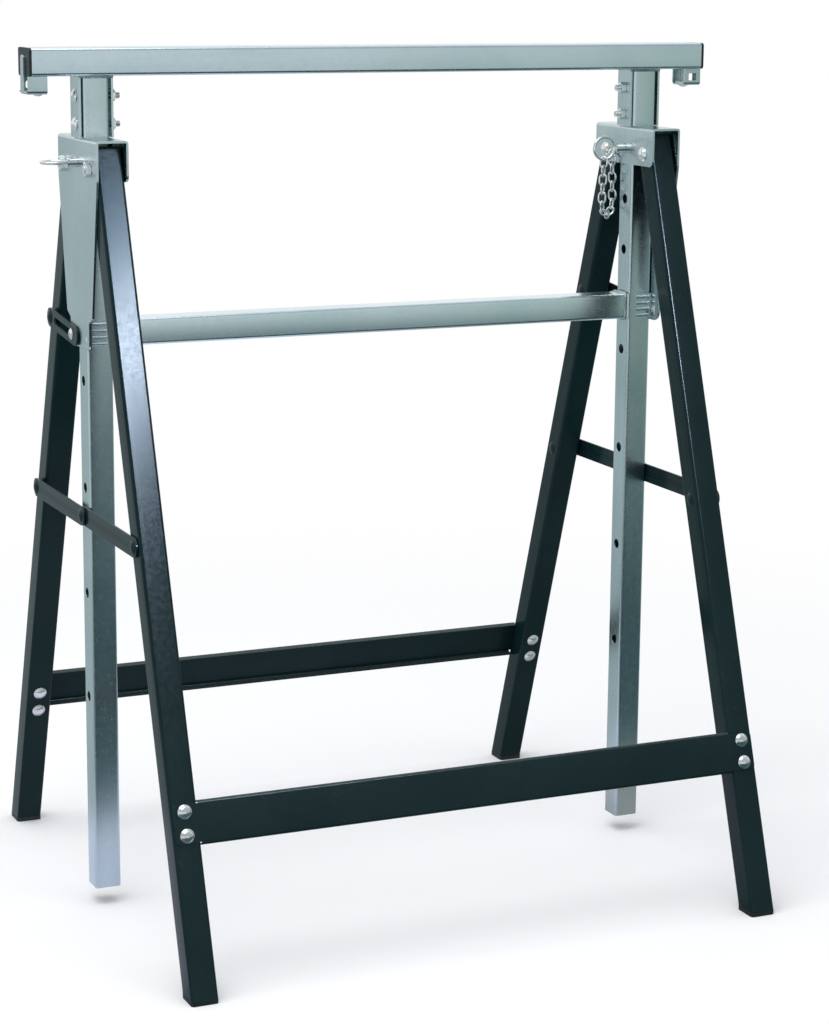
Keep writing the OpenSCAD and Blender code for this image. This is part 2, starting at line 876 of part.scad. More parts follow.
stretcher_nuts(-1);  // front_stretcher_nuts
foot(-1, -1);  // front_left_foot
foot(1, -1);  // front_right_foot
leg_rivets(-1, brace_reach, front_layer);  // front_brace_rivets
leg(-1, 1);  // rear_left_leg
leg(1, 1);  // rear_right_leg
stretcher(1);  // rear_stretcher
stretcher_bolts(1);  // rear_stretcher_bolts
stretcher_nuts(1);  // rear_stretcher_nuts
foot(-1, 1);  // rear_left_foot
foot(1, 1);  // rear_right_foot
leg_rivets(1, brace_reach, rear_layer);  // rear_brace_rivets
leg_rivets(1, stay_reach, rear_layer);  // stay_rivets
brace(-1, -1);  // left_front_brace
brace(1, -1);  // right_front_brace
brace(-1, 1);  // left_rear_brace
brace(1, 1);  // right_rear_brace
brace_pin(-1);  // left_brace_pin
brace_pin(1);  // right_brace_pin
stay(-1);  // left_stay
stay(1);  // right_stay
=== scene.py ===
"""Looks of a builders trestle whose beam lifts on two posts and whose legs fold.

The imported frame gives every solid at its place. This script dresses the solids, swaps the threaded
fasteners and the chain for finer meshes, adds the weld beads and sets up the studio.
Lengths are metres, X runs along the beam, -Y is the front and the floor is at z = 0.
"""

import json
import logging
import math
from dataclasses import dataclass, field
from enum import Enum
from functools import partial
from typing import Callable, Dict, List, Optional, Sequence, Tuple, Union

import bmesh
import bpy
from mathutils import Matrix, Vector

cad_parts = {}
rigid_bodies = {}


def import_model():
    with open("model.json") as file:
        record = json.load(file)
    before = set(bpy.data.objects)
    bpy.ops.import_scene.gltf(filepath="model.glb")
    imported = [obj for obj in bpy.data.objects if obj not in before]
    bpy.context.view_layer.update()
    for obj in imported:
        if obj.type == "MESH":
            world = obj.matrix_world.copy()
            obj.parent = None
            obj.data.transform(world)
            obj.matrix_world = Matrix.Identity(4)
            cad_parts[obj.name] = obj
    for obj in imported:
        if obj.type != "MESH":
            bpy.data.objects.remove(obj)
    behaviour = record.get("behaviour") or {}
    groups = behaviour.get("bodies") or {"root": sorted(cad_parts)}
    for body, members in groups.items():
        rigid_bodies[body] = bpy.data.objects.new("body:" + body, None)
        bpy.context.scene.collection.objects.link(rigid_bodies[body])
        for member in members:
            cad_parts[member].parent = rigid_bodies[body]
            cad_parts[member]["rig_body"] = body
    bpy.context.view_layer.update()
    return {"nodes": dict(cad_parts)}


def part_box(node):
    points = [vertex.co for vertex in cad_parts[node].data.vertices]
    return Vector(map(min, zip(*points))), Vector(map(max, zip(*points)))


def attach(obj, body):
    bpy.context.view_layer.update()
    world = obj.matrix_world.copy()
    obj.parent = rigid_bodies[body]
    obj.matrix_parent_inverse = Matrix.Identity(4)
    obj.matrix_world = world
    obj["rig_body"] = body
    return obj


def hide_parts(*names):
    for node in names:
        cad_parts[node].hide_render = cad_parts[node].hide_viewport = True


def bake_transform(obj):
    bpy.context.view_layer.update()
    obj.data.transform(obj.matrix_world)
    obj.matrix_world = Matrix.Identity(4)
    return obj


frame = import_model()

log = logging.getLogger("trestle")

MM = 0.001
SAME_POINT = 1e-7
WELD_GAP = 1e-6
PLACE_DIGITS = 4
MIDDLE = 0.5

Span = Tuple[float, float]
Triple = Tuple[float, float, float]
Colour = Triple
Node = bpy.types.Node
NodeTree = bpy.types.NodeTree
Socket = bpy.types.NodeSocket
Piece = bpy.types.Object
Feed = Union[Socket, float, Sequence[float]]

ORIGIN: Triple = (0.0, 0.0, 0.0)
EVEN: Triple = (1.0, 1.0, 1.0)
WHITE: Colour = (1.0, 1.0, 1.0)


class Side(Enum):
    """The two ends of the beam, as signs of X."""

    LEFT = -1
    RIGHT = 1


class End(Enum):
    """The two leg frames, as signs of Y."""

    FRONT = -1
    REAR = 1


class Effect(Enum):
    """Surface effects that several finishes share."""

    EDGE_WEAR = "edge_wear"
    DRAW_LINES = "draw_lines"
    CLOUDS = "clouds"
    SCUFFS = "scuffs"
    # Up-facing film: dust on the zinc and the plastic, painted sheen with a little dust on the enamel.
    SETTLED_DUST = "settled_dust"
    ORANGE_PEEL = "orange_peel"


class NodeBoard:
    """Adds and wires nodes in one node tree."""

    def __init__(self, tree: NodeTree) -> None:
        """Keeps the tree that every other method works on."""
        self.tree = tree

    def add(self, kind: str, **settings: object) -> Node:
        """Adds one node.

        Args:
            kind: the node type's name.
            settings: properties to set on the node.

        Returns:
            The new node.
        """
        node = self.tree.nodes.new(kind)
        for name, value in settings.items():
            setattr(node, name, value)
        return node

    def feed(self, socket: Socket, value: Feed) -> None:
        """Links a socket into another one, or sets its plain value.

        Args:
            socket: the input that is fed.
            value: an output socket, a number or a list of numbers.
        """
        if isinstance(value, Socket):
            self.tree.links.new(value, socket)
        elif hasattr(socket.default_value, "__len__") and not isinstance(value, (int, float)):
            size = len(socket.default_value)
            socket.default_value = (tuple(value) + (1.0,))[:size]
        else:
            socket.default_value = value

    def math(self, operation: str, first: Feed, second: Feed = 0.0, clamp: bool = False) -> Socket:
        """Adds a math node.

        Args:
            operation: the operation's name.
            first: the first value.
            second: the second value, which some operations ignore.
            clamp: whether the result is kept between 0 and 1.

        Returns:
            The result.
        """
        node = self.add("ShaderNodeMath", operation=operation, use_clamp=clamp)
        self.feed(node.inputs[0], first)
        self.feed(node.inputs[1], second)
        return node.outputs[0]

    def times(self, first: Feed, second: Feed) -> Socket:
        """Multiplies two values."""
        return self.math("MULTIPLY", first, second)

    def vector(self, operation: str, first: Feed, second: Feed) -> Node:
        """Adds a vector math node.

        Args:
            operation: the operation's name.
            first: the first vector.
            second: the second vector, which some operations ignore.

        Returns:
            The node, whose result is a vector or a value.
        """
        node = self.add("ShaderNodeVectorMath", operation=operation)
        self.feed(node.inputs[0], first)
        self.feed(node.inputs[1], second)
        return node

    def length(self, vector: Feed) -> Socket:
        """Distance of coordinates from the origin."""
        return self.vector("LENGTH", vector, ORIGIN).outputs["Value"]

    def split(self, vector: Feed) -> Node:
        """Splits coordinates.

        Args:
            vector: the coordinates.

        Returns:
            The node, whose outputs are X, Y and Z.
        """
        node = self.add("ShaderNodeSeparateXYZ")
        self.feed(node.inputs[0], vector)
        return node

    def tint(self, share: Feed, first: Feed, second: Feed) -> Socket:
        """Mixes two colours.

        Args:
            share: how much of the second colour shows.
            first: the colour below.
            second: the colour on top.

        Returns:
            The mixed colour.
        """
        node = self.add("ShaderNodeMix", data_type="RGBA", clamp_factor=True)
        below, above = (socket for socket in node.inputs if socket.type == "RGBA")
        self.feed(node.inputs["Factor"], share)
        self.feed(below, first)
        self.feed(above, second)
        return next(socket for socket in node.outputs if socket.type == "RGBA")

    def step(self, value: Feed, low: float, high: float,
             to_low: float = 0.0, to_high: float = 1.0) -> Socket:
        """Maps a value smoothly from one range to another.

        Args:
            value: the value that is mapped.
            low: where the range starts.
            high: where the range ends.
            to_low: the result at the start.
            to_high: the result at the end.

        Returns:
            The mapped value.
        """
        node = self.add("ShaderNodeMapRange", interpolation_type="SMOOTHSTEP")
        for socket, number in zip(node.inputs[:5], (value, low, high, to_low, to_high)):
            self.feed(socket, number)
        return node.outputs[0]

    def noise(self, vector: Feed, scale: Feed, detail: float = 3.0,
              rough: float = 0.55, bend: float = 0.0) -> Socket:
        """Adds a noise texture and returns its value.

        Args:
            vector: the coordinates.
            scale: features per metre.
            detail: number of octaves.
            rough: weight of the finer octaves.
            bend: distortion of the coordinates.

        Returns:
            The noise, from 0 to 1.
        """
        node = self.add("ShaderNodeTexNoise")
        for name, value in (("Vector", vector), ("Scale", scale), ("Detail", detail),
                            ("Roughness", rough), ("Distortion", bend)):
            self.feed(node.inputs[name], value)
        return node.outputs[0]


class EffectShelf:
    """Builds each shared effect once, as a node group, and places it in materials."""

    def __init__(self) -> None:
        """Starts with no effect built."""
        self.groups: Dict[Effect, NodeTree] = {}
        self.makers: Dict[Effect, Callable[[], NodeTree]] = {
            Effect.EDGE_WEAR: self._edge_wear,
            Effect.DRAW_LINES: self._draw_lines,
            Effect.CLOUDS: self._clouds,
            Effect.SCUFFS: self._scuffs,
            Effect.SETTLED_DUST: self._settled_dust,
            Effect.ORANGE_PEEL: self._orange_peel,
        }

    def place(self, board: NodeBoard, effect: Effect, **values: Feed) -> Node:
        """Places an effect in a material.

        Args:
            board: the material's nodes.
            effect: which effect.
            values: the effect's inputs by name.

        Returns:
            The group node, whose outputs are named.
        """
        if effect not in self.groups:
            self.groups[effect] = self.makers[effect]()
        node = board.add("ShaderNodeGroup", node_tree=self.groups[effect])
        for name, value in values.items():
            board.feed(node.inputs[name], value)
        return node

    @staticmethod
    def _open(effect: Effect, inputs: Dict[str, Feed],
              outputs: Sequence[str]) -> Tuple[NodeBoard, Node, Node]:
        """Starts a node group.

        Args:
            effect: the effect that names the group.
            inputs: input names with their default, a number or a vector.
            outputs: output names, all plain values.

        Returns:
            The group's nodes, its input node and its output node.
        """
        tree = bpy.data.node_groups.new(effect.value, "ShaderNodeTree")
        for name, default in inputs.items():
            kind = "NodeSocketFloat" if isinstance(default, float) else "NodeSocketVector"
            socket = tree.interface.new_socket(name=name, in_out="INPUT", socket_type=kind)
            socket.default_value = default
        for name in outputs:
            tree.interface.new_socket(name=name, in_out="OUTPUT", socket_type="NodeSocketFloat")
        board = NodeBoard(tree)
        return board, board.add("NodeGroupInput"), board.add("NodeGroupOutput")

    def _edge_wear(self) -> NodeTree:
        """Worn edges, broken up by noise.

        Returns:
            The node group.
        """
        flat, worn = 0.995, 0.86
        patch_span = (0.36, 0.64)
        board, given, out = self._open(
            Effect.EDGE_WEAR, {"Vector": ORIGIN, "Radius": 0.001, "Breakup": 120.0}, ["Mask"])
        rounded = board.add("ShaderNodeBevel", samples=6)
        board.feed(rounded.inputs["Radius"], given.outputs["Radius"])
        plain = board.add("ShaderNodeNewGeometry").outputs["Normal"]
        turn = board.vector("DOT_PRODUCT", rounded.outputs[0], plain).outputs["Value"]
        cloud = board.noise(given.outputs["Vector"], given.outputs["Breakup"], detail=4.0)
        patches = board.step(cloud, *patch_span)
        board.feed(out.inputs["Mask"], board.times(board.step(turn, flat, worn), patches))
        return board.tree

    def _draw_lines(self) -> NodeTree:
        """Long fine lines that the mill leaves along a drawn tube.

        Returns:
            The node group.
        """
        broad_scale, fine_scale = 70.0, 900.0
        broad_span = (0.3, 0.7)
        board, given, out = self._open(
            Effect.DRAW_LINES, {"Vector": ORIGIN, "Stretch": EVEN}, ["Broad", "Fine"])
        along = board.vector("MULTIPLY", given.outputs["Vector"], given.outputs["Stretch"]).outputs[0]
        board.feed(out.inputs["Broad"], board.step(board.noise(along, broad_scale), *broad_span))
        board.feed(out.inputs["Fine"], board.noise(along, fine_scale, detail=4.0, rough=0.65))
        return board.tree

    def _clouds(self) -> NodeTree:
        """Soft patches where a plating or a paint film varies.

        Returns:
            The node group.
        """
        broad_span, small_span = (0.3, 0.7), (0.32, 0.68)
        finer = 22.0
        board, given, out = self._open(
            Effect.CLOUDS, {"Vector": ORIGIN, "Scale": 9.0}, ["Broad", "Small"])
        coords, scale = given.outputs["Vector"], given.outputs["Scale"]
        broad = board.noise(coords, scale, rough=0.5, bend=0.6)
        small = board.noise(coords, board.times(scale, finer), detail=5.0, rough=0.6)
        board.feed(out.inputs["Broad"], board.step(broad, *broad_span))
        board.feed(out.inputs["Small"], board.step(small, *small_span))
        return board.tree

    def _scuffs(self) -> NodeTree:
        """Thin scratches in two directions, gathered in patches.

        Returns:
            The node group.
        """
        directions = ((0.5, (1.0, 14.0, 9.0)), (-0.8, (12.0, 1.0, 10.0)))
        tilt_share = 0.6
        line_scale, patch_scale = 60.0, 26.0
        line_span, patch_span = (0.665, 0.69), (0.5, 0.66)
        board, given, out = self._open(Effect.SCUFFS, {"Vector": ORIGIN, "Amount": 0.5}, ["Mask"])
        scratches = []
        for turn, stretch in directions:
            turned = board.add("ShaderNodeVectorRotate", rotation_type="EULER_XYZ")
            board.feed(turned.inputs["Vector"], given.outputs["Vector"])
            turned.inputs["Rotation"].default_value = (turn, tilt_share * turn, turn)
            lines = board.vector("MULTIPLY", turned.outputs[0], stretch).outputs[0]
            scratch = board.noise(lines, line_scale, detail=2.0, rough=0.5, bend=0.25)
            scratches.append(board.step(scratch, *line_span))
        patches = board.step(board.noise(given.outputs["Vector"], patch_scale, detail=2.0), *patch_span)
        marks = board.times(board.math("MAXIMUM", *scratches), patches)
        board.feed(out.inputs["Mask"], board.times(marks, given.outputs["Amount"]))
        return board.tree

    def _settled_dust(self) -> NodeTree:
        """A thin film on faces that look up: dust on the zinc and the plastic, and painted sheen with a
        little dust on the enamel.

        Returns:
            The node group.
        """
        level_span = (0.2, 1.0)
        grain_scale = 340.0
        grain_span, grain_cover = (0.3, 0.75), (0.6, 1.0)
        board, given, out = self._open(Effect.SETTLED_DUST, {"Vector": ORIGIN, "Amount": 0.3}, ["Mask"])
        up = board.split(board.add("ShaderNodeNewGeometry").outputs["Normal"]).outputs["Z"]
        grains = board.noise(given.outputs["Vector"], grain_scale, detail=5.0, rough=0.7)
        cover = board.step(grains, *grain_span, *grain_cover)
        film = board.times(board.step(up, *level_span), cover)
        board.feed(out.inputs["Mask"], board.times(film, given.outputs["Amount"]))
        return board.tree

    def _orange_peel(self) -> NodeTree:
        """Low ripples of a sprayed film, as a height.

        Returns:
            The node group.
        """
        swell_scale = 60.0
        board, given, out = self._open(Effect.ORANGE_PEEL, {"Vector": ORIGIN, "Scale": 420.0}, ["Height"])
        ripple = board.noise(given.outputs["Vector"], given.outputs["Scale"], detail=2.0, rough=0.4)
        swell = board.noise(given.outputs["Vector"], swell_scale, detail=1.0, rough=0.4)
        board.feed(out.inputs["Height"], board.math("ADD", ripple, swell))
        return board.tree


SHELF = EffectShelf()


class Coat(NodeBoard):
    """The nodes of one material while it is wired."""

    def __init__(self, material: bpy.types.Material) -> None:
        """Starts from a material's principled shader and object coordinates in metres.

        Args:
            material: the material, whose nodes are switched on.
        """
        material.use_nodes = True
        super().__init__(material.node_tree)
        self.shader = self.tree.nodes["Principled BSDF"]
        self.coords = self.add("ShaderNodeTexCoord").outputs["Object"]

    def put(self, name: str, value: Feed) -> None:
        """Feeds one of the shader's inputs."""
        self.feed(self.shader.inputs[name], value)

    def effect(self, effect: Effect, **values: Feed) -> Node:
        """Places a shared effect on the material's coordinates."""
        return SHELF.place(self, effect, Vector=self.coords, **values)

    def mask(self, effect: Effect, **values: Feed) -> Socket:
        """Places a shared effect and returns its mask."""
        return self.effect(effect, **values).outputs["Mask"]

    def relief(self, height: Feed, depth: float, strength: float) -> None:
        """Feeds a height into the shader's normal.

        Args:
            height: the height, about 0 to 1.
            depth: metres from low to high.
            strength: share of the bump that shows.
        """
        bump = self.add("ShaderNodeBump")
        for name, value in (("Strength", strength), ("Distance", depth), ("Height", height)):
            self.feed(bump.inputs[name], value)
        self.put("Normal", bump.outputs[0])


@dataclass(frozen=True)
class Finish:
    """What every finish has: a name, the record's slot and a coat to wire."""

    name: str
    slot: str
    metallic: float = 0.0

    def material(self) -> bpy.types.Material:
        """Builds the material, unless it was built before.

        Returns:
            The material.
        """
        if self.name in bpy.data.materials:
            return bpy.data.materials[self.name]
        made = bpy.data.materials.new(self.name)
        coat = Coat(made)
        coat.put("Metallic", self.metallic)
        self.wire(coat)
        return made

    def wire(self, coat: Coat) -> None:
        """Wires the coat; each finish has its own."""
        raise NotImplementedError


@dataclass(frozen=True)
class ZincPlate(Finish):
    """Satin zinc plating on drawn tube or folded sheet."""

    metallic: float = 1.0
    stretch: Triple = EVEN
    cool: Colour = (0.45, 0.555, 0.57)
    pale: Colour = (0.56, 0.65, 0.67)
    grey: Colour = (0.30, 0.40, 0.42)
    burnished: Colour = (0.82, 0.86, 0.88)
    cloud_scale: float = 7.0
    speck_share: float = 0.14
    wear_radius: float = 0.7 * MM
    wear_breakup: float = 150.0
    wear_share: float = 0.75
    wear_polish: float = 0.08
    fine_span: Span = (0.25, 0.75)
    rough: Span = (0.24, 0.27)
    patch_rough: float = 0.03
    line_share: float = 0.16
    line_depth: float = 0.006 * MM
    grain_share: float = 0.35
    bump_share: float = 0.12

    def wire(self, coat: Coat) -> None:
        """Layers plating clouds, mill lines and burnished edges.

        Args:
            coat: the material's nodes.
        """
        lines = coat.effect(Effect.DRAW_LINES, Stretch=self.stretch)
        clouds = coat.effect(Effect.CLOUDS, Scale=self.cloud_scale)
        wear = coat.mask(Effect.EDGE_WEAR, Radius=self.wear_radius, Breakup=self.wear_breakup)
        small, fine = clouds.outputs["Small"], lines.outputs["Fine"]
        colour = coat.tint(clouds.outputs["Broad"], self.cool, self.pale)
        colour = coat.tint(coat.times(lines.outputs["Broad"], self.line_share), colour, self.grey)
        colour = coat.tint(coat.times(small, self.speck_share), colour, self.pale)
        colour = coat.tint(coat.times(wear, self.wear_share), colour, self.burnished)
        coat.put("Base Color", colour)
        patchy = coat.times(coat.math("SUBTRACT", small, MIDDLE), self.patch_rough)
        rough = coat.math("ADD", coat.step(fine, *self.fine_span, *self.rough), patchy)
        polish = coat.times(wear, self.wear_polish)
        coat.put("Roughness", coat.math("SUBTRACT", rough, polish, clamp=True))
        height = coat.math("ADD", fine, coat.times(small, self.grain_share))
        coat.relief(height, self.line_depth, self.bump_share)


@dataclass(frozen=True)
class GlossEnamel(Finish):
    """Dark green-black enamel, sprayed and stoved on the steel."""

    deep: Colour = (0.0038, 0.0152, 0.0172)
    thin: Colour = (0.0056, 0.0192, 0.0217)
    rubbed: Colour = (0.045, 0.075, 0.082)
    # Painted sheen: this pale colour lightens the up-facing enamel as the bright surround it catches would;
    # its grains make a little of it dust.
    dust: Colour = (0.25, 0.30, 0.29)
    cloud_scale: float = 11.0
    wear_radius: float = 0.8 * MM
    wear_breakup: float = 95.0
    wear_share: float = 0.5
    scuff_amount: float = 0.16
    scuff_rough: float = 0.3
    dust_and_sheen_amount: float = 0.20
    dust_and_sheen_rough: float = 0.8
    rough: Span = (0.15, 0.19)
    ior: float = 1.52
    gloss: float = 0.09
    peel_scale: float = 420.0
    peel_depth: float = 0.04 * MM
    bump_share: float = 0.22

    def wire(self, coat: Coat) -> None:
        """Layers film clouds, rubbed edges, scuffs, a pale film on faces that look up and orange peel; that
        film is painted sheen with a little dust.

        Args:
            coat: the material's nodes.
        """
        clouds = coat.effect(Effect.CLOUDS, Scale=self.cloud_scale)
        wear = coat.mask(Effect.EDGE_WEAR, Radius=self.wear_radius, Breakup=self.wear_breakup)
        scuffs = coat.mask(Effect.SCUFFS, Amount=self.scuff_amount)
        dust = coat.mask(Effect.SETTLED_DUST, Amount=self.dust_and_sheen_amount)
        peel = coat.effect(Effect.ORANGE_PEEL, Scale=self.peel_scale)
        colour = coat.tint(clouds.outputs["Broad"], self.deep, self.thin)
        colour = coat.tint(coat.times(wear, self.wear_share), colour, self.rubbed)
        colour = coat.tint(scuffs, colour, self.rubbed)
        # Painted sheen with a little dust: the up-facing enamel is lightened towards the pale film colour.
        coat.put("Base Color", coat.tint(dust, colour, self.dust))
        rough = coat.step(clouds.outputs["Small"], 0.0, 1.0, *self.rough)
        rough = coat.math("ADD", rough, coat.times(scuffs, self.scuff_rough))
        rough = coat.math("ADD", rough, coat.times(dust, self.dust_and_sheen_rough), clamp=True)
        coat.put("Roughness", rough)
        coat.put("IOR", self.ior)
        coat.put("Specular IOR Level", self.gloss)
        coat.relief(peel.outputs["Height"], self.peel_depth, self.bump_share)


@dataclass(frozen=True)
class BrightZinc(Finish):
    """Bright zinc on small turned and headed parts."""

    metallic: float = 1.0
    clear: Colour = (0.80, 0.84, 0.86)
    warm: Colour = (0.70, 0.71, 0.68)
    grime: Colour = (0.16, 0.17, 0.17)
    cloud_scale: float = 40.0
    wear_radius: float = 0.4 * MM
    wear_breakup: float = 300.0
    dust_and_sheen_amount: float = 0.25
    grime_from: float = 0.55
    grime_share: float = 0.35
    rough: Span = (0.14, 0.30)
    grain_depth: float = 0.03 * MM
    bump_share: float = 0.25

    def wire(self, coat: Coat) -> None:
        """Layers plating clouds, grime specks and burnished edges.

        Args:
            coat: the material's nodes.
        """
        clouds = coat.effect(Effect.CLOUDS, Scale=self.cloud_scale)
        wear = coat.mask(Effect.EDGE_WEAR, Radius=self.wear_radius, Breakup=self.wear_breakup)
        dust = coat.mask(Effect.SETTLED_DUST, Amount=self.dust_and_sheen_amount)
        small = clouds.outputs["Small"]
        colour = coat.tint(clouds.outputs["Broad"], self.clear, self.warm)
        grime = coat.times(coat.step(small, self.grime_from, 1.0), self.grime_share)
        colour = coat.tint(grime, colour, self.grime)
        colour = coat.tint(dust, colour, self.warm)
        coat.put("Base Color", coat.tint(wear, colour, self.clear))
        coat.put("Roughness", coat.step(small, 0.0, 1.0, *self.rough))
        coat.relief(small, self.grain_depth, self.bump_share)


@dataclass(frozen=True)
class WeldMetal(Finish):
    """Weld bead under the plating, with a dull scale in its ripples."""

    metallic: float = 1.0
    bead: Colour = (0.52, 0.58, 0.60)
    scale: Colour = (0.16, 0.17, 0.19)
    cloud_scale: float = 55.0
    scale_share: float = 0.7
    rough: Span = (0.30, 0.55)
    grain_depth: float = 0.12 * MM
    bump_share: float = 0.5

    def wire(self, coat: Coat) -> None:
        """Layers bead metal and scale.

        Args:
            coat: the material's nodes.
        """
        clouds = coat.effect(Effect.CLOUDS, Scale=self.cloud_scale)
        small = clouds.outputs["Small"]
        scaled = coat.times(clouds.outputs["Broad"], self.scale_share)
        coat.put("Base Color", coat.tint(scaled, self.bead, self.scale))
        coat.put("Roughness", coat.step(small, 0.0, 1.0, *self.rough))
        coat.relief(small, self.grain_depth, self.bump_share)


@dataclass(frozen=True)
class MouldedPlastic(Finish):
    """Black moulded plastic with a fine grain."""

    black: Colour = (0.009, 0.014, 0.015)
    bloom: Colour = (0.020, 0.029, 0.031)
    dust: Colour = (0.045, 0.055, 0.057)
    cloud_scale: float = 30.0
    bloom_share: float = 0.6
    scuff_amount: float = 0.5
    dust_and_sheen_amount: float = 0.3
    rough: Span = (0.42, 0.58)
    gloss: float = 0.25
    grain_scale: float = 1400.0
    grain_depth: float = 0.06 * MM
    bump_share: float = 0.4

    def wire(self, coat: Coat) -> None:
        """Layers bloom, scuffs, dust and grain.

        Args:
            coat: the material's nodes.
        """
        clouds = coat.effect(Effect.CLOUDS, Scale=self.cloud_scale)
        scuffs = coat.mask(Effect.SCUFFS, Amount=self.scuff_amount)
        dust = coat.mask(Effect.SETTLED_DUST, Amount=self.dust_and_sheen_amount)
        grain = coat.effect(Effect.ORANGE_PEEL, Scale=self.grain_scale)
        bloomed = coat.times(clouds.outputs["Broad"], self.bloom_share)
        colour = coat.tint(bloomed, self.black, self.bloom)
        colour = coat.tint(scuffs, colour, self.bloom)
        coat.put("Base Color", coat.tint(dust, colour, self.dust))
        coat.put("Roughness", coat.step(clouds.outputs["Small"], 0.0, 1.0, *self.rough))
        coat.put("Specular IOR Level", self.gloss)
        coat.relief(grain.outputs["Height"], self.grain_depth, self.bump_share)


LENGTHWISE = (0.035, 1.0, 1.0)
UPRIGHT = (1.0, 1.0, 0.035)
# Painted light: the beam and the crossbar are the same galvanised steel as the posts; their paler plating
# colours stand in for the extra light that falls on them.
BEAM_ZINC_LIT = ZincPlate("beam_zinc", "galvanised", stretch=LENGTHWISE, cool=(0.56, 0.66, 0.71),
                      pale=(0.66, 0.75, 0.80), grey=(0.44, 0.54, 0.58))
POST_ZINC = ZincPlate("post_zinc", "galvanised", stretch=UPRIGHT)
BAR_ZINC_LIT = ZincPlate("bar_zinc", "galvanised", stretch=LENGTHWISE, cool=(0.65, 0.78, 0.81),
                     pale=(0.74, 0.84, 0.87), grey=(0.51, 0.63, 0.66))
SHEET_ZINC = ZincPlate("sheet_zinc", "galvanised", stretch=(0.5, 0.5, 0.12),
                       line_share=0.12, line_depth=0.005 * MM)
ENAMEL = GlossEnamel("leg_enamel", "paint")
BRIGHT = BrightZinc("fastener_zinc", "fastener")
WELD = WeldMetal("weld_metal", "galvanised")
PLASTIC = MouldedPlastic("black_plastic", "plastic")


def show(piece: Piece) -> Piece:
    """Adds an object to the scene and returns it."""
    bpy.context.scene.collection.objects.link(piece)
    return piece


class MeshMaker:
    """Collects faces in one bmesh and turns them into an object."""

    def __init__(self) -> None:
        """Starts with no faces."""
        self.work = bmesh.new()

    def skin(self, loops: Sequence[Sequence[Vector]], closed: bool = False, capped: bool = True) -> None:
        """Joins a row of equal loops with quads.

        Args:
            loops: the loops, each with as many points.
            closed: whether the last loop joins the first one.
            capped: whether an open row gets a face at each end.
        """
        rows = [[self.work.verts.new(point) for point in loop] for loop in loops]
        pairs = list(zip(rows, rows[1:])) + ([(rows[-1], rows[0])] if closed else [])
        for low, high in pairs:
            for i in range(len(low)):
                k = (i + 1) % len(low)
                self.work.faces.new((low[i], low[k], high[k], high[i]))
        if capped and not closed:
            self.work.faces.new(rows[0][::-1])
            self.work.faces.new(rows[-1])

    @staticmethod
    def ring(place: Matrix, z: float, reaches: Sequence[float]) -> List[Vector]:
        """Points at even turns round an axis.

        Args:
            place: where the axis goes, along its Z.
            z: height on the axis.
            reaches: each point's distance from the axis.

        Returns:
            The points.
        """
        turns = [math.tau * i / len(reaches) for i in range(len(reaches))]
        return [place @ Vector((r * math.cos(t), r * math.sin(t), z)) for r, t in zip(reaches, turns)]

    def lathe(self, profile: Sequence[Span], place: Matrix, sides: int) -> None:
        """Turns a profile round its Z axis.

        Args:
            profile: radius and height pairs, from bottom to top.
            place: where the axis goes.
            sides: points round the axis.
        """
        self.skin([self.ring(place, z, [radius] * sides) for radius, z in profile])

    def tube(self, path: Sequence[Vector], radius: Callable[[int], float], sides: int,
             closed: bool = False) -> None:
        """Sweeps a round section along a path.

        Args:
            path: the points of the path.
            radius: the section's radius at a point's index.
            sides: points round the section.
            closed: whether the path is a loop.
        """
        count = len(path)
        loops: List[List[Vector]] = []
        side: Optional[Vector] = None
        for i, point in enumerate(path):
            before = path[i - 1] if i or closed else point
            after = path[(i + 1) % count] if i < count - 1 or closed else point
            along = (after - before).normalized()
            side = along.orthogonal() if side is None else side - along * side.dot(along)
            side.normalize()
            up = along.cross(side)
            turns = (math.tau * k / sides for k in range(sides))
            loops.append([point + (side * math.cos(t) + up * math.sin(t)) * radius(i) for t in turns])
        self.skin(loops, closed)

    def finish(self, name: str, finish: Finish, smooth: float = 35.0) -> Piece:
        """Makes the object.

        Args:
            name: the object's name.
            finish: what it is dressed in.
            smooth: edges sharper than this many degrees stay sharp.

        Returns:
            The object, which rides on nothing yet.
        """
        bmesh.ops.remove_doubles(self.work, verts=self.work.verts, dist=SAME_POINT)
        bmesh.ops.dissolve_degenerate(self.work, edges=self.work.edges, dist=SAME_POINT)
        bmesh.ops.recalc_face_normals(self.work, faces=self.work.faces)
        mesh = bpy.data.meshes.new(name)
        self.work.to_mesh(mesh)
        self.work.free()
        mesh.polygons.foreach_set("use_smooth", [True] * len(mesh.polygons))
        mesh.set_sharp_from_angle(angle=math.radians(smooth))
        mesh.materials.append(finish.material())
        piece = show(bpy.data.objects.new(name, mesh))
        return piece


@dataclass
class Solid:
    """One separate solid of a CAD node, as a cloud of points."""

    points: List[Vector]

    def axis_place(self, axis: Vector) -> Tuple[Matrix, float]:
        """Finds the line through the solid along an axis.

        Args:
            axis: unit vector from the start of the solid to its end.

        Returns:
            A matrix whose Z runs along the axis from the solid's start, and the solid's length.
        """
        turn = Vector((0, 0, 1)).rotation_difference(axis)
        local = [turn.inverted() @ point for point in self.points]
        low = Vector([min(p[i] for p in local) for i in range(3)])
        high = Vector([max(p[i] for p in local) for i in range(3)])
        start = turn @ Vector(((low.x + high.x) / 2, (low.y + high.y) / 2, low.z))
        return Matrix.Translation(start) @ turn.to_matrix().to_4x4(), high.z - low.z


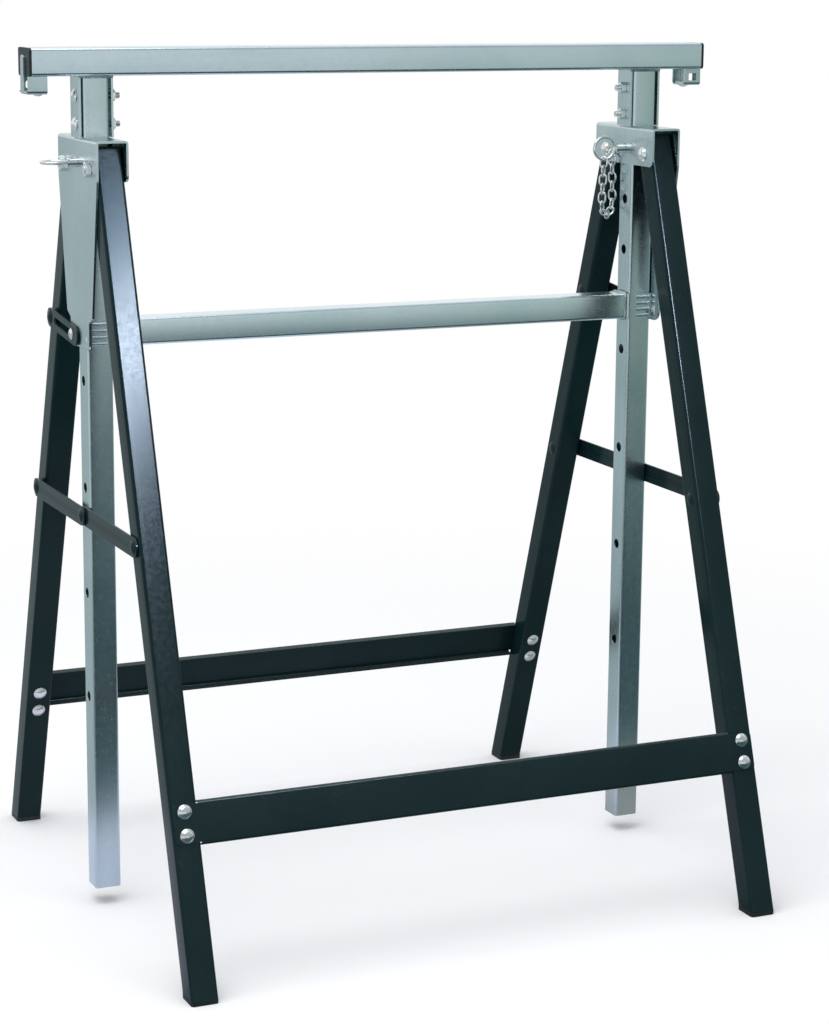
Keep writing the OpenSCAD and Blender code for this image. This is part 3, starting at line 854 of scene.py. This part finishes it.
def solids_of(node: str) -> List[Solid]:
    """Splits a CAD node into its separate solids.

    Args:
        node: the node's name.

    Returns:
        The solids, sorted by place.
    """
    work = bmesh.new()
    work.from_mesh(frame["nodes"][node].data)
    bmesh.ops.remove_doubles(work, verts=work.verts, dist=WELD_GAP)
    left = set(work.verts)
    found: List[Solid] = []
    while left:
        wave = [left.pop()]
        group = list(wave)
        while wave:
            near = [edge.other_vert(vert) for vert in wave for edge in vert.link_edges]
            wave = [vert for vert in set(near) if vert in left]
            left.difference_update(wave)
            group.extend(wave)
        found.append(Solid([vert.co.copy() for vert in group]))
    work.free()
    return sorted(found, key=lambda solid: tuple(round(c, PLACE_DIGITS) for c in solid.points[0]))


def body_of(node: str) -> str:
    """The body that a CAD node rides on."""
    return frame["nodes"][node]["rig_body"]


@dataclass
class ThreadedSet:
    """Bolts or nuts of one node, remade with domes, chamfers and threads."""

    node: str
    axis: Callable[[Solid], Vector]
    shank: float
    pitch: float
    head: float = 0.0
    dome: float = 0.0
    threaded: float = 0.0
    across: float = 0.0
    rim: float = 0.45 * MM
    rim_shares: Span = (0.9, 0.2)
    rim_step_share: float = 1 / 3
    dome_rows: int = 9
    sides: int = 48
    cut_share: float = 0.55
    end_slope: float = 1.2
    end_share: float = 0.15
    rows_per_turn: int = 8
    least_rows: int = 6
    thread_sides: int = 24
    play: float = 0.05 * MM
    chamfer: float = 0.35 * MM
    face_share: float = 0.97
    corner_share: float = 0.62
    corner_rows: int = 4
    nut_sides: int = 72

    def build(self) -> Piece:
        """Builds all pieces of the set as one object that stands for the node.

        Returns:
            The object.
        """
        maker = MeshMaker()
        for solid in solids_of(self.node):
            place, length = solid.axis_place(self.axis(solid))
            if self.across:
                self._nut(maker, place, length)
            else:
                self._bolt(maker, place, length)
        piece = maker.finish(self.node + "_fine", BRIGHT)
        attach(piece, body_of(self.node))
        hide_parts(self.node)
        return piece

    def _bolt(self, maker: MeshMaker, place: Matrix, length: float) -> None:
        """Adds a low round head with a soft rim, a plain shank and a threaded tail.

        Args:
            maker: takes the faces.
            place: the bolt's axis, which starts at the top of the head.
            length: from the top of the head to the tip.
        """
        radius = self.head / 2
        ball = (radius ** 2 + self.dome ** 2) / (2 * self.dome)
        widest = math.asin((radius - self.rim) / ball)
        arc = [widest * i / self.dome_rows for i in range(self.dome_rows + 1)]
        profile = [(ball * math.sin(a), ball - ball * math.cos(a)) for a in arc]
        profile += [(radius, self.dome - self.rim * share) for share in self.rim_shares]
        profile.append((radius - self.rim * self.rim_step_share, self.dome))
        profile += [(self.shank / 2, self.dome), (self.shank / 2, length - self.threaded)]
        maker.lathe(profile, place, self.sides)
        self._thread(maker, place, length - self.threaded, length)

    def _thread(self, maker: MeshMaker, place: Matrix, low: float, high: float) -> None:
        """Adds a screw thread between two heights, with a chamfered end.

        Args:
            maker: takes the faces.
            place: the bolt's axis.
            low: where the thread starts.
            high: where the bolt ends.
        """
        depth = self.cut_share * self.pitch
        core = self.shank / 2 - depth
        rows = max(self.least_rows, int((high - low) / self.pitch * self.rows_per_turn))
        loops = []
        for row in range(rows + 1):
            z = low + (high - low) * row / rows
            end = core + (high - z) * self.end_slope + self.end_share * depth
            phases = [(z / self.pitch - i / self.thread_sides) % 1.0 for i in range(self.thread_sides)]
            cuts = [depth * abs(2 * phase - 1) for phase in phases]
            loops.append(maker.ring(place, z, [min(self.shank / 2 - cut, end) for cut in cuts]))
        maker.skin(loops)

    def _nut(self, maker: MeshMaker, place: Matrix, length: float) -> None:
        """Adds a hexagon whose corners are turned off at both faces, round a bore.

        Args:
            maker: takes the faces.
            place: the nut's axis, which starts at one face.
            length: from one face to the other.
        """
        sixth = math.pi / 3
        corner = self.across / 2
        flat = corner * math.cos(sixth / 2)
        face = flat * self.face_share
        turned_off = (corner - flat) * self.corner_share
        bore = self.shank / 2 + self.play
        steps = [k / self.corner_rows for k in range(1, self.corner_rows + 1)]
        levels = [(bore + self.chamfer, 0.0), (face, 0.0)]
        levels += [(face + (corner - face) * step, turned_off * step) for step in steps]
        levels += [(r, length - z) for r, z in levels[::-1]]
        levels += [(bore, length - self.chamfer), (bore, self.chamfer)]
        turns = [math.tau * i / self.nut_sides for i in range(self.nut_sides)]
        hexagon = [flat / math.cos(turn % sixth - sixth / 2) for turn in turns]
        loops = [maker.ring(place, z, [min(reach, side) for side in hexagon]) for reach, z in levels]
        maker.skin(loops, closed=True)


@dataclass
class Fasteners:
    """Every threaded fastener of the trestle."""

    lean: float = math.radians(18.5)
    m6: float = 6 * MM
    m6_head: float = 13 * MM
    m6_dome: float = 3.4 * MM
    m6_nut: float = 11 * MM
    m6_pitch: float = 1.0 * MM
    m8: float = 8 * MM
    m8_head: float = 15 * MM
    m8_dome: float = 4.2 * MM
    m8_nut: float = 14.6 * MM
    m8_pitch: float = 1.25 * MM
    stop_head: float = 10 * MM
    stop_dome: float = 2.2 * MM
    tail: float = 8 * MM
    long_tail: float = 11 * MM
    hung: float = 18 * MM

    def across_leg(self, end: End, solid: Solid) -> Vector:
        """Direction through a frame's legs from front to rear, for every solid alike."""
        return Vector((0, math.cos(self.lean), end.value * math.sin(self.lean)))

    @staticmethod
    def outward(solid: Solid) -> Vector:
        """Direction along X away from the middle of the trestle."""
        return Vector((math.copysign(1.0, solid.points[0].x), 0, 0))

    @staticmethod
    def inward(solid: Solid) -> Vector:
        """Direction along X towards the middle of the trestle."""
        return -Fasteners.outward(solid)

    @staticmethod
    def upward(solid: Solid) -> Vector:
        """Direction straight up, for every solid alike."""
        return Vector((0, 0, 1))

    def sets(self) -> List[ThreadedSet]:
        """Lists the sets of bolts and nuts.

        Returns:
            The sets, in the order in which they are built.
        """
        small = dict(shank=self.m6, pitch=self.m6_pitch)
        large = dict(shank=self.m8, pitch=self.m8_pitch)
        small_bolt = dict(small, head=self.m6_head, dome=self.m6_dome, threaded=self.tail)
        large_bolt = dict(large, head=self.m8_head, dome=self.m8_dome, threaded=self.tail)
        stop_screw = dict(small, head=self.stop_head, dome=self.stop_dome, threaded=self.hung)
        listed = [
            ThreadedSet("saddle_bolts", self.inward, **dict(small_bolt, threaded=self.long_tail)),
            ThreadedSet("saddle_nuts", self.inward, across=self.m6_nut, **small),
            ThreadedSet("stop_screws", self.upward, **stop_screw),
            ThreadedSet("stop_nuts", self.upward, across=self.m6_nut, **small),
            ThreadedSet("leg_pivot_bolts", self.outward, **large_bolt),
            ThreadedSet("leg_pivot_nuts", self.outward, across=self.m8_nut, **large),
        ]
        for end in End:
            name = end.name.lower() + "_stretcher_"
            through = partial(self.across_leg, end)
            listed.append(ThreadedSet(name + "bolts", through, **small_bolt))
            listed.append(ThreadedSet(name + "nuts", through, across=self.m6_nut, **small))
        return listed

    def build(self) -> None:
        """Builds every set."""
        for group in self.sets():
            log.info("fasteners %s", group.build().name)


@dataclass
class RetainingChain:
    """Welded links from the anchor eye to the ring of the right pin."""

    wire: float = 1.8 * MM
    half: float = 5.4 * MM
    wide: float = 3.6 * MM
    slack: float = 0.3 * MM
    weld: float = 1.16
    turns: Sequence[float] = (-4, -4, -4, -4, -4, 17, 50, 88, 126, 160, 184, 184, 184, 184, 184)
    anchor: Vector = field(default_factory=lambda: Vector((259.8, 14.0, 696.8)) * MM)
    ring: Vector = field(default_factory=lambda: Vector((243.3, 0.0, 695.9)) * MM)
    bend_points: int = 9
    sides: int = 10

    def link_path(self) -> List[Vector]:
        """Draws the centre line of one link in the XZ plane, long in Z.

        Returns:
            The points of the loop.
        """
        straight = self.half - self.wide
        path = []
        for sign, start in ((1, 0.0), (-1, math.pi)):
            for i in range(self.bend_points):
                turn = start + math.pi * i / (self.bend_points - 1)
                z = sign * straight + self.wide * math.sin(turn)
                path.append(Vector((self.wide * math.cos(turn), 0, z)))
            path.append(Vector((-sign * self.wide, 0, 0)))
        return path

    def places(self) -> List[Matrix]:
        """Finds where each link hangs.

        Returns:
            A place for each link, starting at the anchor.
        """
        step = self.half - (self.wire + self.slack) / 2
        across = self.ring - self.anchor
        plane = Matrix.Translation(self.anchor) @ Matrix.Rotation(math.atan2(across.y, across.x), 4, "Z")
        spot, before = Vector(), Vector()
        placed: List[Matrix] = []
        for i, degrees in enumerate(self.turns):
            turn = math.radians(degrees)
            along = Vector((math.sin(turn), 0, -math.cos(turn)))
            spot = spot + (before + along) * step if placed else along * self.half
            before = along
            quarter = Matrix.Rotation(math.pi / 2 if i % 2 == 0 else 0.0, 4, "Z")
            hang = Matrix.Translation(spot) @ Matrix.Rotation(math.pi - turn, 4, "Y")
            placed.append(plane @ hang @ quarter)
        return placed

    def build(self) -> None:
        """Builds the chain where it hangs and hides the CAD chain."""
        maker = MeshMaker()
        path = self.link_path()
        seam = len(path) - 1
        for place in self.places():
            maker.tube([place @ point for point in path],
                       lambda i: self.wire / 2 * (self.weld if i == seam else 1.0), self.sides, closed=True)
        piece = maker.finish("retaining_chain_links", BRIGHT)
        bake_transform(piece)
        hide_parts("retaining_chain")
        log.info("chain %s with %d links", piece.name, len(self.turns))


@dataclass
class WeldBead:
    """A row of overlapping weld ripples along a path."""

    name: str
    body: str
    path: List[Vector]
    radius: float = 1.5 * MM
    ripple: float = 2.3 * MM
    closed: bool = False
    points_per_ripple: int = 6
    ripple_swell: float = 0.16
    uneven_swell: float = 0.07
    uneven_turn: float = 1.7
    end_share: float = 0.45
    sides: int = 10
    smooth: float = 60.0

    def swell(self, i: int) -> float:
        """Share of the radius at a point's index."""
        ripple = abs(math.sin(math.pi * i / self.points_per_ripple))
        return 1.0 + self.ripple_swell * ripple + self.uneven_swell * math.sin(i * self.uneven_turn)

    def build(self) -> Piece:
        """Sweeps the bead and swells it at every ripple.

        Returns:
            The bead.
        """
        points = self.even_path(self.ripple / self.points_per_ripple)
        swells = [self.swell(i) for i in range(len(points))]
        if not self.closed:
            swells[0] = swells[-1] = self.end_share
        maker = MeshMaker()
        maker.tube(points, lambda i: self.radius * swells[i], self.sides, self.closed)
        piece = maker.finish(self.name, WELD, self.smooth)
        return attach(piece, self.body)

    def even_path(self, gap: float) -> List[Vector]:
        """Points along the path at even distances.

        Args:
            gap: distance between two points.

        Returns:
            The points, without the last one where the path is a loop.
        """
        corners = self.path + ([self.path[0]] if self.closed else [])
        points: List[Vector] = []
        for start, stop in zip(corners, corners[1:]):
            count = max(1, round((stop - start).length / gap))
            points += [start.lerp(stop, i / count) for i in range(count)]
        return points if self.closed else points + [corners[-1]]


@dataclass
class Welds:
    """Beads that hold the crossbar to its guides and the saddles to the beam."""

    bend: float = 3 * MM
    bend_points: int = 5
    sink: float = 0.7 * MM

    def crossbar_path(self, side: Side) -> List[Vector]:
        """Draws the loop round one end of the crossbar.

        Args:
            side: which end.

        Returns:
            The points of the loop.
        """
        low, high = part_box("crossbar")
        x = (high.x if side is Side.RIGHT else low.x) - side.value * self.sink
        middle = (low + high) / 2
        core = (high.z - low.z) / 2 - self.bend
        quarter = math.pi / 2
        path = []
        for corner in range(4):
            start = corner * quarter
            y_core = math.copysign(core, math.cos(start + quarter / 2))
            z_core = math.copysign(core, math.sin(start + quarter / 2))
            for k in range(self.bend_points):
                turn = start + quarter * k / (self.bend_points - 1)
                y = y_core + self.bend * math.cos(turn)
                z = z_core + self.bend * math.sin(turn)
                path.append(Vector((x, middle.y + y, middle.z + z)))
        return path

    def saddle_paths(self, side: Side) -> List[List[Vector]]:
        """Draws the seams in the corners between a saddle and the beam.

        Args:
            side: which saddle.

        Returns:
            The seam in front and the one behind.
        """
        low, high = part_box(side.name.lower() + "_saddle")
        paths = []
        for end in End:
            y = high.y if end is End.REAR else low.y
            z = high.z - self.sink / 2
            paths.append([Vector((low.x, y, z)), Vector((high.x, y, z))])
        return paths

    def build(self) -> None:
        """Builds every bead."""
        for side in Side:
            name = side.name.lower()
            loop = self.crossbar_path(side)
            beads = [WeldBead(name + "_crossbar_weld", body_of("crossbar"), loop, closed=True)]
            for end, path in zip(End, self.saddle_paths(side)):
                seam = f"{name}_saddle_{end.name.lower()}_weld"
                beads.append(WeldBead(seam, body_of(name + "_saddle"), path))
            for bead in beads:
                log.info("weld %s", bead.build().name)


@dataclass
class DressedSolids:
    """Finishes for the CAD solids that keep their own shape."""

    edge: float = 0.22 * MM
    moulded_edge: float = 0.8 * MM
    segments: int = 2
    smooth: float = math.radians(32)
    # The paler zinc of the beam and the crossbar is painted light.
    special: Dict[str, Finish] = field(default_factory=lambda: {
        "beam": BEAM_ZINC_LIT, "left_post": POST_ZINC, "right_post": POST_ZINC, "crossbar": BAR_ZINC_LIT})
    by_slot: Dict[str, Finish] = field(default_factory=lambda: {
        "galvanised": SHEET_ZINC, "paint": ENAMEL, "fastener": BRIGHT, "plastic": PLASTIC})

    def soften(self, piece: Piece, width: float) -> None:
        """Rounds the sharp edges of a solid.

        Args:
            piece: the solid.
            width: width of the rounding.
        """
        mesh = piece.data
        if "custom_normal" in mesh.attributes:
            mesh.attributes.remove(mesh.attributes["custom_normal"])
        mesh.polygons.foreach_set("use_smooth", [True] * len(mesh.polygons))
        if "sharp_edge" in mesh.attributes:
            mesh.attributes.remove(mesh.attributes["sharp_edge"])
        weld = piece.modifiers.new("weld", "WELD")
        weld.merge_threshold = WELD_GAP
        bevel = piece.modifiers.new("edge", "BEVEL")
        bevel.width = width
        bevel.segments = self.segments
        bevel.limit_method = "ANGLE"
        bevel.angle_limit = self.smooth
        bevel.harden_normals = True

    def build(self) -> None:
        """Dresses every solid by its own finish or its slot's."""
        for name, piece in sorted(frame["nodes"].items()):
            slot = piece.data.materials[0].name.split(".")[0]
            finish = self.special.get(name, self.by_slot[slot])
            piece.data.materials.clear()
            piece.data.materials.append(finish.material())
            self.soften(piece, self.moulded_edge if finish is PLASTIC else self.edge)
            log.info("solid %s in %s", name, finish.name)


@dataclass
class Viewpoint:
    """Camera at the photograph's viewing angle."""

    place: Triple = (-1.0082, -2.3290, 0.8939)
    yaw: float = math.radians(24.27)
    pitch: float = math.radians(11.92)
    roll: float = math.radians(0.48)
    lens: float = 93.69
    sensor: float = 36.0

    def build(self) -> None:
        """Makes the camera."""
        level = math.cos(self.pitch)
        ahead = Vector((math.sin(self.yaw) * level, math.cos(self.yaw) * level, -math.sin(self.pitch)))
        right = Vector((math.cos(self.yaw), -math.sin(self.yaw), 0))
        up = right.cross(ahead)
        c, s = math.cos(self.roll), math.sin(self.roll)
        right, up = right * c + up * s, up * c - right * s
        turn = Matrix((right, up, -ahead)).transposed().to_4x4()
        data = bpy.data.cameras.new("camera")
        data.lens = self.lens
        data.sensor_width = self.sensor
        camera = show(bpy.data.objects.new("camera", data))
        camera.matrix_world = Matrix.Translation(self.place) @ turn
        bpy.context.scene.camera = camera


@dataclass(frozen=True)
class Lamp:
    """A rectangular lamp; a flagged one only glints in the enamel and lights nothing else."""

    name: str
    place: Triple
    size: Span
    power: float
    colour: Colour = WHITE
    aim: Triple = (0.0, 0.0, 0.42)
    flagged: bool = False

    def build(self) -> None:
        """Adds the lamp and turns it to its aim."""
        data = bpy.data.lights.new(self.name, "AREA")
        data.shape = "RECTANGLE"
        data.size, data.size_y = self.size
        data.energy = self.power
        data.color = self.colour
        lamp = show(bpy.data.objects.new(self.name, data))
        lamp.location = self.place
        facing = Vector(self.aim) - Vector(self.place)
        lamp.rotation_euler = facing.to_track_quat("-Z", "Y").to_euler()
        if self.flagged:
            lamp.visible_diffuse = False
            lamp.light_linking.receiver_collection = self.enamelled()

    @staticmethod
    def enamelled() -> bpy.types.Collection:
        """Gathers the enamelled pieces, for a lamp that is flagged off all others.

        Returns:
            The collection of them.
        """
        if "enamelled" in bpy.data.collections:
            return bpy.data.collections["enamelled"]
        group = bpy.data.collections.new("enamelled")
        for piece in bpy.data.objects:
            if piece.type == "MESH" and ENAMEL.name in piece.data.materials:
                group.objects.link(piece)
        return group


LAMPS = (
    Lamp("overhead", (-0.7, -0.3, 2.7), (2.2, 2.2), 44.0),
    Lamp("strip", (0.36, -2.23, 1.68), (1.10, 0.16), 115.0,
         colour=(0.72, 0.83, 1.0), aim=(-0.28, -0.1, 0.55), flagged=True),
    Lamp("strip_head", (0.36, -2.23, 1.88), (1.10, 0.22), 24.0,
         colour=(0.38, 0.66, 1.0), aim=(-0.28, -0.1, 0.6), flagged=True),
    Lamp("strip_tail", (0.36, -2.23, 1.51), (1.10, 0.18), 20.0,
         colour=(0.50, 0.72, 1.0), aim=(-0.28, -0.1, 0.5), flagged=True),
)


@dataclass
class Studio:
    """Pale floor, soft lamps and a surround that is white to the camera and graded in reflections."""

    floor_reach: float = 80.0
    floor_colour: Colour = (0.93, 0.93, 0.935)
    floor_rough: float = 0.9
    floor_gloss: float = 0.1
    near: float = 0.45
    far: float = 1.7
    mirrored_near: float = 0.22
    mirrored_far: float = 0.34
    mirrored_squeeze: Triple = (0.4, 1.0, 1.0)
    dark_spot: Triple = (0.15, -1.7, 0.0)
    dark_size: Triple = (1.2, 1.9, 1.0)
    dark_span: Span = (0.5, 2.4)
    dark: Colour = (0.035, 0.085, 0.10)
    horizon: Colour = (0.95, 0.99, 1.0)
    horizon_right: Colour = (0.40, 0.52, 0.47)
    right_span: Span = (0.28, 0.66)
    ceiling: Colour = (0.48, 0.52, 0.56)
    ceiling_span: Span = (0.02, 0.45)
    behind: Colour = (0.52, 0.60, 0.62)
    floor_behind_span: Span = (-0.4, 0.3)
    room_behind_span: Span = (-0.35, 0.3)
    close: Colour = (0.80, 0.82, 1.0)
    close_right: Colour = (0.41, 0.41, 0.41)
    close_right_span: Span = (0.1, 0.3)
    sky: Colour = (0.95, 0.97, 1.0)
    surround: float = 0.74

    @staticmethod
    def mix(board: NodeBoard, share: Feed, first: Node, second: Node) -> Socket:
        """Mixes two shaders.

        Args:
            board: the nodes of the floor or of the world.
            share: how much of the second shader shows.
            first: the shader below.
            second: the shader on top.

        Returns:
            The mixed shader.
        """
        mixed = board.add("ShaderNodeMixShader")
        for socket, value in zip(mixed.inputs, (share, first.outputs[0], second.outputs[0])):
            board.feed(socket, value)
        return mixed.outputs[0]

    @staticmethod
    def white_for_camera(board: NodeBoard, mirrored: Feed) -> Socket:
        """White where the camera looks, and another colour in reflections."""
        path = board.add("ShaderNodeLightPath")
        return board.tint(path.outputs["Is Camera Ray"], mirrored, WHITE)

    def pale_horizon(self, board: NodeBoard, split: Node) -> Socket:
        """The horizon in front, which is duller towards the right.

        Args:
            board: the nodes of the floor or of the world.
            split: the place on the floor or the direction in the room, split into X, Y and Z.

        Returns:
            The colour.
        """
        forward = board.times(split.outputs["Y"], -1.0)
        slope = board.math("DIVIDE", split.outputs["X"], board.math("MAXIMUM", forward, self.mirrored_near))
        return board.tint(board.step(slope, *self.right_span), self.horizon, self.horizon_right)

    def mirrored_floor(self, board: NodeBoard, coords: Socket) -> Socket:
        """Colours the floor in reflections: pale or grey close by, dark in front, pale far off, grey behind.

        Args:
            board: the floor's nodes.
            coords: places on the floor.

        Returns:
            The colour.
        """
        split = board.split(coords)
        moved = board.vector("SUBTRACT", coords, self.dark_spot).outputs[0]
        distance = board.length(board.vector("DIVIDE", moved, self.dark_size).outputs[0])
        pale = self.pale_horizon(board, split)
        front = board.tint(board.step(distance, *self.dark_span), self.dark, pale)
        wide = board.tint(board.step(split.outputs["Y"], *self.floor_behind_span), front, self.behind)
        near = board.length(board.vector("MULTIPLY", coords, self.mirrored_squeeze).outputs[0])
        rightward = board.step(split.outputs["X"], *self.close_right_span)
        close = board.tint(rightward, self.close, self.close_right)
        return board.tint(board.step(near, self.mirrored_near, self.mirrored_far), close, wide)

    def mirrored_room(self, board: NodeBoard, coords: Socket) -> Socket:
        """Colours the room in reflections: a pale horizon under a grey ceiling in front, white behind.

        Args:
            board: the surround's nodes.
            coords: directions in the room.

        Returns:
            The colour.
        """
        split = board.split(coords)
        pale = self.pale_horizon(board, split)
        front = board.tint(board.step(split.outputs["Z"], *self.ceiling_span), pale, self.ceiling)
        return board.tint(board.step(split.outputs["Y"], *self.room_behind_span), front, WHITE)

    def paper(self) -> bpy.types.Material:
        """Makes the floor's material, which takes the shadow close by and fades to plain white far away.

        Returns:
            The material.
        """
        made = bpy.data.materials.new("floor_paper")
        board = Coat(made)
        board.put("Base Color", self.floor_colour)
        board.put("Roughness", self.floor_rough)
        board.put("Specular IOR Level", self.floor_gloss)
        path = board.add("ShaderNodeLightPath")
        distant = board.step(board.length(board.coords), self.near, self.far)
        straight = board.times(distant, path.outputs["Is Camera Ray"])
        away = board.math("MAXIMUM", straight, path.outputs["Is Glossy Ray"])
        glow = board.add("ShaderNodeEmission")
        mirrored = self.mirrored_floor(board, board.coords)
        board.feed(glow.inputs["Color"], self.white_for_camera(board, mirrored))
        output = board.tree.nodes["Material Output"]
        board.feed(output.inputs[0], self.mix(board, away, board.shader, glow))
        return made

    def floor(self) -> None:
        """Lays the floor."""
        reach = self.floor_reach
        mesh = bpy.data.meshes.new("floor")
        corners = [(-reach, -reach, 0.0), (reach, -reach, 0.0), (reach, reach, 0.0), (-reach, reach, 0.0)]
        mesh.from_pydata(corners, [], [(0, 1, 2, 3)])
        mesh.materials.append(self.paper())
        plane = show(bpy.data.objects.new("floor", mesh))

    def world(self) -> None:
        """Sets the surround: one background for what shows and another for what lights."""
        made = bpy.data.worlds.new("surround")
        made.use_nodes = True
        bpy.context.scene.world = made
        made.node_tree.nodes.clear()
        board = NodeBoard(made.node_tree)
        coords = board.add("ShaderNodeTexCoord").outputs["Generated"]
        path = board.add("ShaderNodeLightPath")
        seen = board.math("MAXIMUM", path.outputs["Is Camera Ray"], path.outputs["Is Glossy Ray"])
        seen = board.math("MAXIMUM", seen, path.outputs["Is Transmission Ray"])
        shown = board.add("ShaderNodeBackground")
        board.feed(shown.inputs["Color"], self.white_for_camera(board, self.mirrored_room(board, coords)))
        lit = board.add("ShaderNodeBackground")
        board.feed(lit.inputs["Color"], self.sky)
        lit.inputs["Strength"].default_value = self.surround
        output = board.add("ShaderNodeOutputWorld")
        board.feed(output.inputs[0], self.mix(board, seen, lit, shown))

    def build(self) -> None:
        """Sets the floor, the surround and the lamps."""
        bpy.context.scene.view_settings.view_transform = "Standard"
        self.floor()
        self.world()
        for lamp in LAMPS:
            lamp.build()


def main() -> None:
    """Dresses the trestle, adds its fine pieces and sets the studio."""
    logging.basicConfig(level=logging.INFO, format="%(name)s: %(message)s")
    DressedSolids().build()
    Fasteners().build()
    RetainingChain().build()
    Welds().build()
    Viewpoint().build()
    Studio().build()


if __name__ == "__main__":
    main()
